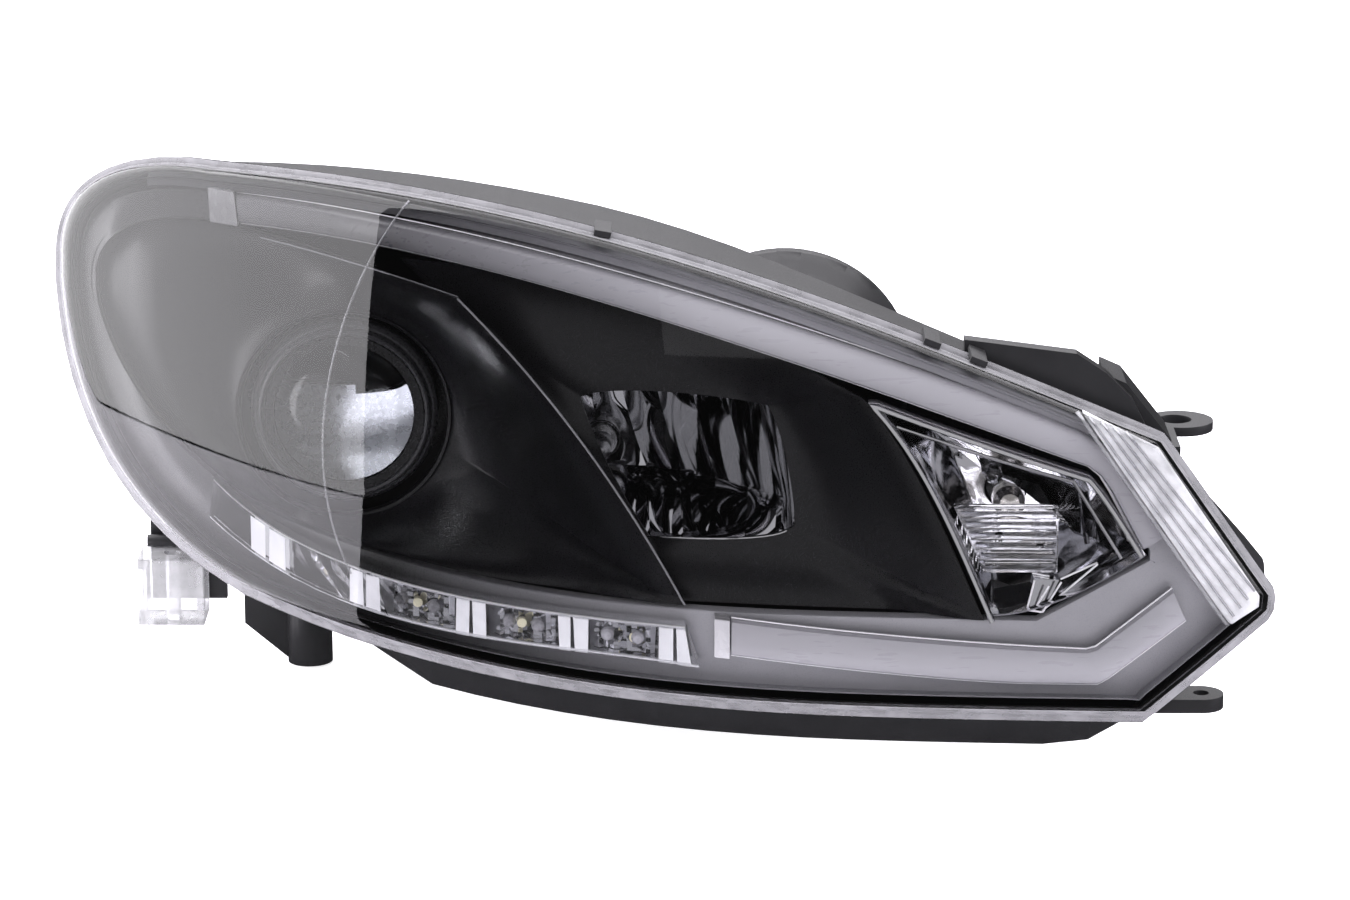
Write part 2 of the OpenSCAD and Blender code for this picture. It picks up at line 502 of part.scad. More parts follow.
module low_beam_bulb() color([0.8, 0.8, 0.82]) {
    turned(low_c, [[0, 84], [3, 85], [5.5, 89], [6, 94], [6, 108], [10, 108], [10, neck_y + 6], [15.5, neck_y + 6],
        [15.5, neck_y + 8], [11, neck_y + 8], [11, neck_y + 14], [0, neck_y + 14]]);
    for (x = [-5, 5]) translate([low_c.x + x - 0.5, neck_y + 13, low_c.y - 4]) cube([1, 9, 8]);
}

// A wire spring clip: two legs from a cross pin to a bent end
module wire_clip(c, y, reach, half) color([0.75, 0.75, 0.77]) translate([c.x, y, c.y]) {
    rotate([0, 90, 0]) translate([-reach, 0, -half]) cylinder(r = 1, h = 2 * half);
    for (x = [-half, half]) translate([x, 0, -reach]) cylinder(r = 1, h = 2 * reach);
    for (x = [-half, half]) translate([x, 0, reach]) sphere(r = 1);
    for (x = [-half, half]) translate([x, 0, -reach]) {
        sphere(r = 1);
        rotate([0, x > 0 ? -90 : 90, 0]) cylinder(r = 1, h = half * 0.6);
    }
}
low_clip_y = neck_y + 9.2;
high_clip_y = 45.2;
module low_bulb_clip() wire_clip(low_c, low_clip_y, 19, 13);
module high_bulb_clip() wire_clip(high_c, high_clip_y, 15, 9.5);

beam_apex = 32;
beam_clear = 49;      // depth that keeps the reflector behind its surround while it tilts
function beam_y(p) = max(beam_apex - pow(norm(p - high_c), 2) / (4 * beam_focus), front(p) + beam_clear);
beam_posts = [[-219, 16], [-196, -17], [-222, -48]];
module high_beam_reflector() {
    loop = open_loop([curve([[-255, 20], [-236, 30], [-190, 28], [-171, 23]], side_n),
        curve([[-171, 23], [-163, 10], [-158, -26], [-159, -36]], side_n),
        curve([[-159, -36], [-168, -46], [-214, -47], [-236, -46]], side_n),
        curve([[-236, -46], [-252, -28], [-263, 4], [-255, 20]], side_n)]);
    function to(t) = [for (p = loop) let (d = p - high_c, q = mix(high_c + beam_hole_r * d / norm(d), p, t))
        [q.x, beam_y(q), q.y]];
    rim = [for (p = loop) [p.x, min(beam_y(p), front(p) + 56), p.y]];
    inside = [rim, to(1), to(0.75), to(0.5), to(0.25), to(0)];
    outside = [to(0), to(0.25), to(0.5), to(0.75), to(1), rim];
    function shift(r, i) = [for (k = [0:len(r) - 1]) let (d = loop[k] - high_c, n = d / norm(d))
        r[k] + [n.x * 2.5, i == 5 ? 0 : 2.5, n.y * 2.5]];
    color([0.88, 0.88, 0.9]) union() {
        band(concat(inside, [for (i = [0:5]) shift(outside[i], i)]));
        for (p = beam_posts) disc(p, beam_y(p) + 1.5, plate_y, 4);
        tube(high_c, beam_apex, 41, 12, beam_hole_r + 0.6);
    }
}

module high_beam_bulb() color([0.85, 0.85, 0.87]) {
    turned(high_c, [[0, 8], [2, 8.6], [4.5, 12], [4.5, 27], [6.8, 28], [6.8, 41], [11.5, 41], [11.5, 44], [8, 44],
        [8, 50], [0, 50]]);
    for (x = [-4, 4]) translate([high_c.x + x - 0.4, 49, high_c.y - 3]) cube([0.8, 8, 6]);
}

module carrier_screws() color([0.7, 0.7, 0.72]) for (a = [45, 135, 225, 315])
    let (c = low_c + 42.6 * [cos(a), sin(a)]) disc(c, bowl_y, bowl_y + 2.5, 2.9);

// ================= aiming mechanism =================
module pivot_stud() color([0.75, 0.75, 0.77]) {
    translate([pivot_c.x, hinge_y, pivot_c.y]) sphere(r = ball_r);
    disc(pivot_c, hinge_y + 3, 112, 3.9);
    disc(pivot_c, 92.5, 95.8, 7);
    disc(pivot_c, 106.2, 110, 7);
}
module pivot_bush() color([0.9, 0.9, 0.88])
    turned(pivot_c, concat(ball_arc(ball_r + 3, 20), flip(ball_arc(ball_r + 0.06, 30))));
module levelling_motor() color([0.16, 0.16, 0.17]) difference() {
    union() {
        disc(level_c, 94, 116, 19);
        disc(level_c, 90, 94, 8);
        disc(level_c, 116, 122.8, 9);
    }
    disc(level_c, 80, 112, rod_r + 0.1);
    disc(level_c, 114, 130, 3.1);
}
module levelling_rod() color([0.9, 0.9, 0.88]) {
    translate([level_c.x, hinge_y, level_c.y]) sphere(r = ball_r);
    disc(level_c, hinge_y, 106, rod_r);
}
module vertical_adjuster() color([0.9, 0.9, 0.88]) {
    disc(level_c, 115, 130, 3);
    gear_knob(level_c, dome_rear + 0.6, 10, 9);
}
module aim_rod() color([0.9, 0.9, 0.88]) {
    translate([aim_c.x, hinge_y, aim_c.y]) sphere(r = ball_r);
    disc(aim_c, hinge_y, 160, rod_r);
}
module aim_bearing() color([0.16, 0.16, 0.17]) union() {
    tube(aim_c, 140, 171.2, 4.8, rod_r + 0.1);
    tube(aim_c, 150, 157.8, 9, 4.7);
}
module horizontal_adjuster() color([0.9, 0.9, 0.88]) gear_knob(aim_c, 171.6, 12, 10);
// A knob with a hexagon socket and grip teeth round its rim
module gear_knob(c, y, h, r) difference() {
    union() {
        disc(c, y, y + h, r - 1);
        for (a = [0:30:330]) disc(c + (r - 1.2) * [cos(a), sin(a)], y, y + h, 1.2);
    }
    along_y(c) translate([0, 0, y + 3]) cylinder(r = 4, h = h, $fn = 6);
}

// ================= rear caps, vent and connector =================
// A twist-off cap: lid outside, spigot inside the opening, three crossed grip ribs
module twist_cap(c, y, r) color([0.14, 0.14, 0.15]) {
    difference() {
        union() {
            turned(c, [[0, y + 3], [r + 6, y + 3], [r + 6, y + 8], [r + 3, y + 12], [0, y + 12]]);
            disc(c, y - 14, y + 4, r - 1);
        }
        disc(c, y - 20, y + 9, r - 4);
    }
    for (a = [0:60:120]) translate([c.x, y + 11, c.y]) rotate([0, a, 0]) translate([-r, 0, -2.5]) cube([2 * r, 8, 5]);
}
low_cap_y = 174;
high_cap_y = 168;
module low_beam_cap() twist_cap(low_cap_c, low_cap_y, low_open_r);
module high_beam_cap() twist_cap(high_cap_c, high_cap_y, high_open_r);
module low_cap_seal() color([0.05, 0.05, 0.05]) tube(low_cap_c, low_cap_y, low_cap_y + 3, low_open_r + 5, low_open_r - 0.9);
module high_cap_seal() color([0.05, 0.05, 0.05]) tube(high_cap_c, high_cap_y, high_cap_y + 3, high_open_r + 5, high_open_r - 0.9);

module vent_cap() color([0.05, 0.05, 0.05]) let (y = rear(vent_c)) {
    disc(vent_c, y - 8, y + 6, 4.8);
    disc(vent_c, y + 2, y + 14, 9);
    translate([vent_c.x, y + 8, vent_c.y]) rotate([180, 0, 0]) cylinder(r = 5, h = 18);
}

socket_at = [-290, 165, -68];
module connector_socket() color([0.12, 0.12, 0.12]) difference() {
    union() {
        translate(socket_at + [-13.7, -8, -8.7]) cube([27.4, 28, 17.4]);
        translate(socket_at + [-20, 1, -13]) cube([40, 3, 26]);
    }
    translate(socket_at + [-11.5, 2, -6.5]) cube([23, 30, 13]);
}
module connector_pins() color([0.8, 0.7, 0.4]) for (i = [0:4]) for (j = [0:1])
    translate(socket_at + [-8.8 + i * 4.1, 2, -4 + j * 6]) cube([1.2, 12, 1.6]);

// ================= fasteners and mounts =================
// Cross-head screws on the housing's rear: two on the connector flange, two beside the levelling dome's knob
module rear_screws() color([0.75, 0.75, 0.77]) for (p = [[socket_at.x - 16.8, socket_at.y + 4, socket_at.z],
    [socket_at.x + 16.8, socket_at.y + 4, socket_at.z], [dome_c.x - 18, dome_rear, dome_c.y - 8],
    [dome_c.x + 18, dome_rear, dome_c.y - 8]]) difference() {
        disc([p.x, p.z], p.y, p.y + 2.4, 2.8);
        for (a = [0, 90]) translate([p.x, p.y + 2, p.z]) rotate([0, a, 0]) cube([3.6, 2, 0.8], center = true);
    }

clip_places = [16, 23, 24];
module lens_clips() color([0.1, 0.1, 0.1]) for (i = clip_places)
    let (p = grow(outline, flange_w + 0.4)[i], y = front(outline[i]), a = edge_top[i + 1] - edge_top[i - 1])
        translate([p.x, y + 12, p.y - rim_drop * (flange_y - edge_r)]) rotate([0, -atan2(a.y, a.x), 0]) {
            translate([-3.5, 0, 0]) cube([7, 20, 2]);
            translate([-3.5, 0, -0.6]) cube([7, 2, 2]);
        }

// A flat plate in the upright plane, from depth y0 to y1
module plate(points, y0, y1) along_y([0, 0]) translate([0, 0, y0]) linear_extrude(y1 - y0) mirror([0, 1]) polygon(points);

module inner_bracket() color([0.1, 0.1, 0.1]) difference() {
    inner_bracket_arms();
    shell_solid();
    translate([0, 0, -tab_t - 1]) cylinder(r = tab_hole_r, h = tab_t + 2);
}
module inner_bracket_arms() {
    plate([[-92, 47], [-46, 41], [-34, 33], [-23, 22], [-15, 6], [-22, -2], [-45, 6], [-92, 26]], -50, -42);
    plate([[-34, 31], [-25, 27], [-6, 3], [-6, -tab_t], [-34, -tab_t]], -44, -14);
    translate([-20, -44, -tab_t]) cube([18, 52, tab_t]);
    translate([-4, -12, -tab_t]) cube([8, 24, tab_t]);
    translate([2, 0, -tab_t]) cylinder(r = 14, h = tab_t);
}

lug_at = [11, -30, -114];
module lower_lug() color([0.1, 0.1, 0.1]) difference() {
    union() {
        translate(lug_at - [0, 0, 3]) cylinder(r = 9.5, h = 6);
        translate(lug_at - [34, 9.5, 3]) cube([34, 19, 6]);
        plate([[-46, -110], [-20, -90], [-6, -86], [0, -112]], -33, -28);
    }
    shell_solid();
    translate(lug_at - [0, 0, 10]) cylinder(r = lug_hole_r, h = 20);
}

block_at = [-437, 130, -113];
module outer_mount_block() color([0.93, 0.93, 0.92]) difference() {
    translate(block_at + [-15, -12, -15.5]) cube([30, 24, 31]);
    translate(block_at + [0, 0, -20]) cylinder(r = block_hole_r, h = 40);
    for (x = [-15.1, 11.1]) translate(block_at + [x, -8, -10]) cube([4, 16, 20]);
}
module outer_arm() color([0.1, 0.1, 0.1]) difference() {
    union() {
        translate(block_at + [-11, 12.2, -10]) cube([34, 4, 44]);
        translate(block_at + [7, 12.2, 14]) cube([22, 22, 22]);
        translate(block_at + [-12, 8.4, 18.6]) rotate([0, 90, 0]) cylinder(r = 2.8, h = 26);
        for (x = [-9, 8]) translate(block_at + [x, 8.4, 16.5]) cube([4, 6, 4]);
    }
    shell_solid();
}

post_at = [-374, 110, -84];
post_l = 58;
insert_r = post_thread_r + 1.5;
module lower_post() color([0.1, 0.1, 0.1]) difference() {
    union() {
        translate(post_at - [0, 0, post_l]) cylinder(r = post_r, h = post_l);
        plate([[-403, -80], [-403, -124], [-384, -140], [-380, -80]], post_at.y - 2, post_at.y + 2);
        translate(post_at + [-2, 8, -40]) cube([4, 14, 40]);
    }
    shell_solid();
    translate(post_at - [0, 0, post_l + 1]) cylinder(r = insert_r, h = 21);
}
module post_insert() color([0.8, 0.65, 0.3]) difference() {
    translate(post_at - [0, 0, post_l]) cylinder(r = insert_r, h = 18);
    translate(post_at - [0, 0, post_l + 1]) cylinder(r = post_thread_r, h = 17);
}

lens_cover();
lens_seal();
housing();
bezel_frame();
projector_surround();
beam_surround();
turn_reflector();
turn_trim();
turn_prism();
turn_bulb();
turn_bulb_holder();
turn_holder_seal();
upper_light_guide();
upper_guide_led();
lower_light_guide();
lower_guide_led();
drl_reflector();
drl_lens();
drl_led_board();
carrier_frame();
projector_holder();
projector_lens();
projector_trim_ring();
projector_reflector();
cutoff_shield();
low_beam_bulb();
low_bulb_clip();
high_beam_reflector();
high_beam_bulb();
high_bulb_clip();
carrier_screws();
pivot_stud();
pivot_bush();
levelling_motor();
levelling_rod();
vertical_adjuster();
aim_rod();
aim_bearing();
horizontal_adjuster();
low_beam_cap();
low_cap_seal();
high_beam_cap();
high_cap_seal();
vent_cap();
connector_socket();
connector_pins();
rear_screws();
lens_clips();
inner_bracket();
lower_lug();
outer_arm();
lower_post();
outer_mount_block();
post_insert();
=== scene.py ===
"""Looks of the car headlight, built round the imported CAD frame.

Shapes are worked out in millimetres on the lens face, in [x, z] and depth behind the face, and
turned into metres where a mesh is made. Lights, floor and camera are placed in metres.
"""

import math
import random

import bmesh
import bpy
import numpy as np
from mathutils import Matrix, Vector

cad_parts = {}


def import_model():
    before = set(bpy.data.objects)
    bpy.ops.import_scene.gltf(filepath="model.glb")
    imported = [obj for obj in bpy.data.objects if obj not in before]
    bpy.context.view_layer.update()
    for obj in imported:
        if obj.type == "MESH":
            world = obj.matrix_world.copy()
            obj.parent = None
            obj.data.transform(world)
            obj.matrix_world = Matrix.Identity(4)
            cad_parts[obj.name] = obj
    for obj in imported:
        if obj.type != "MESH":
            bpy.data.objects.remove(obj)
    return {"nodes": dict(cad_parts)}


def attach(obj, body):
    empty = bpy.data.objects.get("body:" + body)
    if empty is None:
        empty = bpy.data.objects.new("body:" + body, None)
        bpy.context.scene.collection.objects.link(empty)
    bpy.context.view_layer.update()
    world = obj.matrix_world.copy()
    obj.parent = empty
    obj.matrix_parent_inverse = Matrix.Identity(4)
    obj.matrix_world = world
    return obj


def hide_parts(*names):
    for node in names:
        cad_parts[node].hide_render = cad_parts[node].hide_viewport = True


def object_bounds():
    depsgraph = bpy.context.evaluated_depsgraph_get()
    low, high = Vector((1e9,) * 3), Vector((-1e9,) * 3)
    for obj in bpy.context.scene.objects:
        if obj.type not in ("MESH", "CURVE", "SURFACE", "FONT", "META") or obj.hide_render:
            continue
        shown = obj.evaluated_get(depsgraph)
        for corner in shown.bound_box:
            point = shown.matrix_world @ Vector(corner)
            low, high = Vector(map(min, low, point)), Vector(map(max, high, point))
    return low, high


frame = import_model()
cad_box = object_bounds()

MM = 0.001
SHELL, CARRIER = "lamp_shell", "carrier"
rng = random.Random(11)

# ---------------------------------------------------------------- the swept lens face
# The face's foremost depth, where it starts to wrap round the wing, and how far back it has swept 350 mm on
FRONT_Y, WRAP_X, WRAP_D = -95, -120, 200
# The cover's edge radius, its skirt's depth, and how far the rim drops for each millimetre of depth
EDGE_R, SKIRT_D, RIM_DROP = 5, 20, 0.3
FLANGE = EDGE_R + SKIRT_D + 2.6


def mix(a, b, t):
    return a + (b - a) * t


def ease(t):
    """A smooth step from 0 to 1."""
    t = min(1.0, max(0.0, t))
    return t * t * (3 - 2 * t)


def front(x, z):
    """Depth of the lens face: nearly flat toward the grille, swept back toward the wing."""
    sweep = 14 * ((x - WRAP_X) / 155) ** 2 if x > WRAP_X else WRAP_D * ((WRAP_X - x) / 350) ** 2.3
    return FRONT_Y + 0.16 * (z + 20) + 10 * (z / 100) ** 2 + sweep


def at(p, depth):
    """The point at a depth behind the lens face, as [x, y, z] in millimetres."""
    return (p[0], front(p[0], p[1]) + depth, p[1])


def points(*pairs):
    return [Vector(p) for p in pairs]


def bez(c, t):
    """The point at t on a cubic curve."""
    s = 1 - t
    return c[0] * s**3 + c[1] * 3 * s * s * t + c[2] * 3 * s * t * t + c[3] * t**3


def curve(pairs, n, power=1.0):
    """A cubic curve in n steps; power above 1 packs them toward its start."""
    c = points(*pairs)
    return [bez(c, (i / n) ** power) for i in range(n + 1)]


def line(a, b, n):
    return [Vector(a).lerp(Vector(b), i / n) for i in range(n + 1)]


def chain(*parts):
    """Joins lists whose ends meet."""
    out = list(parts[0])
    for p in parts[1:]:
        out += p[1:]
    return out


def closed(*sides):
    return [p for s in sides for p in s[:-1]]


def grow(loop, d):
    """Moves a closed loop outward by d."""
    n = len(loop)
    out = []
    for k in range(n):
        t = loop[(k + 1) % n] - loop[k - 1]
        out.append(loop[k] + Vector((-t.y, t.x)) * (d / t.length))
    return out


def around(loop, d, depth):
    """A ring d outside a loop, at a depth behind the face."""
    return [(q.x, front(p.x, p.y) + depth, q.y) for p, q in zip(loop, grow(loop, d))]


def rim(loop, d, depth):
    """A ring round the outline like around(), but lower the further back it is."""
    drop = RIM_DROP * max(0, depth - EDGE_R)
    return [(x, y, z - drop) for x, y, z in around(loop, d, depth)]


def edge_pair(fine):
    """Top and bottom edge of the lens outline, in matching stations."""
    a, b, c = (round(n * fine) for n in (8, 20, 4))
    top = chain(curve([(-483.5, 41), (-482.5, 76), (-443, 91), (-409.5, 93)], a, 1.5),
                curve([(-409.5, 93), (-255, 112.5), (-143.5, 66.5), (-14, 11.5)], b),
                line((-14, 11.5), (31.5, -53), c))
    bottom = chain(curve([(-483.5, 29), (-479, -29), (-450, -64), (-395.5, -78.5)], a, 1.5),
                   curve([(-395.5, -78.5), (-300, -95), (-140.5, -93), (-18.5, -100)], b),
                   line((-18.5, -100), (31, -59), c))
    return top, bottom


def inner_pair(fine):
    """Top and bottom edge of the opening in the bezel frame."""
    a, b, c = (round(n * fine) for n in (8, 20, 4))
    top = chain(curve([(-468, 30), (-467, 52), (-440, 66), (-405, 68)], a, 1.5),
                curve([(-405, 68), (-274, 84), (-152, 39), (-37, -4)], b),
                line((-37, -4), (-16, -38), c))
    bottom = chain(curve([(-468, 26), (-466, 0), (-436, -34), (-393, -48)], a, 1.5),
                   curve([(-393, -48), (-289, -68), (-183, -60), (-62, -66)], b),
                   line((-62, -66), (-16, -42), c))
    return top, bottom


def ring_of(pair, across=12):
    """One closed loop from a top and a bottom edge."""
    top, bottom = pair
    right = [top[-1].lerp(bottom[-1], j / across) for j in range(1, across + 1)]
    left = [bottom[0].lerp(top[0], j / across) for j in range(1, across)]
    return top + right + bottom[-2::-1] + left


# ---------------------------------------------------------------- meshes
def piece(name, verts, faces, mats, body=SHELL, replaces=(), slot=None, pick=None, sharp=32):
    """A mesh piece from millimetre points. pick gives each face's material number."""
    mesh = bpy.data.meshes.new(name)
    mesh.from_pydata([(x * MM, y * MM, z * MM) for x, y, z in verts], [], faces)
    for m in mats:
        mesh.materials.append(m)
    if pick:
        mesh.polygons.foreach_set("material_index", pick)
    bm = bmesh.new()
    bm.from_mesh(mesh)
    bmesh.ops.remove_doubles(bm, verts=bm.verts, dist=1e-7)
    bmesh.ops.recalc_face_normals(bm, faces=bm.faces)
    bm.to_mesh(mesh)
    bm.free()
    mesh.polygons.foreach_set("use_smooth", [True] * len(mesh.polygons))
    mesh.set_sharp_from_angle(angle=math.radians(sharp))
    o = bpy.data.objects.new(name, mesh)
    bpy.context.scene.collection.objects.link(o)
    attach(o, body)
    if replaces:
        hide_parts(*replaces)
    return o


class Shape:
    """Collects the points and faces of one piece."""

    def __init__(self):
        self.verts, self.faces, self.pick = [], [], []

    def add(self, verts, faces, number=0):
        base = len(self.verts)
        self.verts += verts
        self.faces += [tuple(base + i for i in f) for f in faces]
        self.pick += [number] * len(faces)

    def rings(self, rings, number=0, wrap=True, loop=False, caps=False):
        """Quads between equal rows; wrap closes each row, loop joins the last row to the first."""
        n, m = len(rings[0]), len(rings)
        verts = [tuple(p) for r in rings for p in r]
        faces = [(r * n + k, ((r + 1) % m) * n + k, ((r + 1) % m) * n + (k + 1) % n, r * n + (k + 1) % n)
                 for r in range(m if loop else m - 1) for k in range(n if wrap else n - 1)]
        if caps:
            faces += [tuple(range(n)), tuple((m - 1) * n + k for k in range(n))]
        self.add(verts, faces, number)
        return self

    def strip(self, low, high, profile, number=0):
        """A bar between two edges on the lens face; profile holds [place across, depth]."""
        rows = [[at(a.lerp(b, s), d) for s, d in profile] for a, b in zip(low, high)]
        return self.rings(rows, number, caps=True)

    def bead(self, path, depth, r, number=0, sides=8, squeeze=1.0):
        """A thin rod along a path on the lens face."""
        pts = [Vector(at(p, depth)) for p in path]
        rows = []
        for i, p in enumerate(pts):
            t = (pts[min(i + 1, len(pts) - 1)] - pts[max(i - 1, 0)]).normalized()
            u = t.cross(Vector((0, 1, 0))).normalized()
            v = t.cross(u)
            rows.append([p + r * (math.cos(a) * u + squeeze * math.sin(a) * v)
                         for a in (2 * math.pi * k / sides for k in range(sides))])
        return self.rings(rows, number, caps=True)

    def turned(self, centre, profile, number=0, sides=120, loop=True):
        """A profile of [radius, y] points turned about the Y axis through centre."""
        rows = [[(centre[0] + r * math.cos(a), y, centre[1] + r * math.sin(a))
                 for a in (2 * math.pi * k / sides for k in range(sides))] for r, y in profile]
        return self.rings(rows, number, loop=loop)

    def prism(self, outline, y0, y1, number=0):
        """A plate from y0 to y1 with the outline [x, z]; y0 and y1 may hold a depth for each point."""
        n = len(outline)
        fronts = y0 if isinstance(y0, (list, tuple)) else [y0] * n
        backs = y1 if isinstance(y1, (list, tuple)) else [y1] * n
        verts = [(p[0], y, p[1]) for p, y in zip(outline, fronts)]
        verts += [(p[0], y, p[1]) for p, y in zip(outline, backs)]
        faces = [tuple(range(n)), tuple(range(2 * n - 1, n - 1, -1))]
        faces += [(k, (k + 1) % n, n + (k + 1) % n, n + k) for k in range(n)]
        self.add(verts, faces, number)
        return self

    def make(self, name, mats, **more):
        return piece(name, self.verts, self.faces, mats, pick=self.pick, **more)


# ---------------------------------------------------------------- materials
class Material:
    """A node material under construction."""

    def __init__(self, name):
        self.m = bpy.data.materials.new(name)
        self.m.use_nodes = True
        self.tree = self.m.node_tree
        self.tree.nodes.clear()
        self.out = self.node("OutputMaterial")

    def node(self, kind, **inputs):
        n = self.tree.nodes.new("ShaderNode" + kind)
        for k, v in inputs.items():
            n.inputs[k.replace("_", " ")].default_value = v
        return n

    def link(self, a, b):
        self.tree.links.new(a, b)

    def noise(self, scale, detail=2.0, stretch=(1, 1, 1)):
        coord, place = self.node("TexCoord"), self.node("Mapping")
        place.inputs["Scale"].default_value = stretch
        n = self.node("TexNoise", Scale=scale, Detail=detail)
        self.link(coord.outputs["Object"], place.inputs["Vector"])
        self.link(place.outputs["Vector"], n.inputs["Vector"])
        return n.outputs["Fac"]

    def between(self, fac, low, high):
        """Maps a noise from low to high."""
        n = self.node("MapRange")
        for k, v in (("From Min", 0.3), ("From Max", 0.7), ("To Min", low), ("To Max", high)):
            n.inputs[k].default_value = v
        self.link(fac, n.inputs["Value"])
        return n.outputs["Result"]

    def tint(self, fac, a, b):
        """A colour between a and b, by a noise."""
        n = self.tree.nodes.new("ShaderNodeMix")
        n.data_type = "RGBA"
        n.inputs["A"].default_value, n.inputs["B"].default_value = (*a, 1), (*b, 1)
        self.link(fac, n.inputs["Factor"])
        return n.outputs["Result"]

    def bump(self, fac, strength, distance):
        n = self.node("Bump", Strength=strength, Distance=distance)
        self.link(fac, n.inputs["Height"])
        return n.outputs["Normal"]

    def paint_shade_outer_end(self, colour, share):
        """Painted shade: takes a colour down to a share of itself toward the lamp's outer end."""
        coord, split = self.node("TexCoord"), self.node("SeparateXYZ")
        level = self.node("MapRange", From_Min=-0.33, From_Max=-0.2, To_Min=share, To_Max=1.0)
        scaled = self.node("VectorMath")
        scaled.operation = "SCALE"
        self.link(coord.outputs["Object"], split.inputs["Vector"])
        self.link(split.outputs["X"], level.inputs["Value"])
        self.link(colour, scaled.inputs[0])
        self.link(level.outputs["Result"], scaled.inputs["Scale"])
        return scaled.outputs["Vector"]

    def solid(self, colour, spread, rough, rough_spread, scale, bump, stretch=(1, 1, 1), left=1.0,
              **inputs):
        """A principled surface with colour, roughness and bump from noise; left paints shade on its outer
        end, taking its colour down there.
        """
        p = self.node("BsdfPrincipled", **inputs)
        slow = self.noise(60, 4, stretch)
        fine = self.noise(scale, 2, stretch)
        low, high = [c * (1 - spread) for c in colour], [min(1, c * (1 + spread)) for c in colour]
        shade = self.tint(slow, low, high)
        self.link(shade if left == 1 else self.paint_shade_outer_end(shade, left), p.inputs["Base Color"])
        self.link(self.between(fine, rough - rough_spread, rough + rough_spread), p.inputs["Roughness"])
        if bump:
            self.link(self.bump(fine, bump, 0.0002), p.inputs["Normal"])
        self.link(p.outputs["BSDF"], self.out.inputs["Surface"])
        return self.m

    def clear(self, ior, tint, rough, haze=0.0, haze_colour=(0.8, 0.8, 0.83)):
        """A thin clear sheet: it lets light through and mirrors more at a slant."""
        see = self.node("BsdfTransparent", Color=(*tint, 1))
        gloss = self.node("BsdfGlossy")
        self.link(self.between(self.noise(25, 3), rough * 0.6, rough * 1.4), gloss.inputs["Roughness"])
        self.link(self.bump(self.noise(40, 2), 0.015, 0.0003), gloss.inputs["Normal"])
        fresnel = self.node("Fresnel", IOR=ior)
        both = self.node("MixShader")
        self.link(fresnel.outputs["Fac"], both.inputs["Fac"])
        self.link(see.outputs["BSDF"], both.inputs[1])
        self.link(gloss.outputs["BSDF"], both.inputs[2])
        last = both
        if haze:
            milk = self.node("BsdfDiffuse", Color=(*haze_colour, 1))
            last = self.node("MixShader")
            self.link(self.between(self.noise(90, 4), haze * 0.7, haze * 1.3), last.inputs["Fac"])
            self.link(both.outputs["Shader"], last.inputs[1])
            self.link(milk.outputs["BSDF"], last.inputs[2])
        self.link(last.outputs["Shader"], self.out.inputs["Surface"])
        return self.m


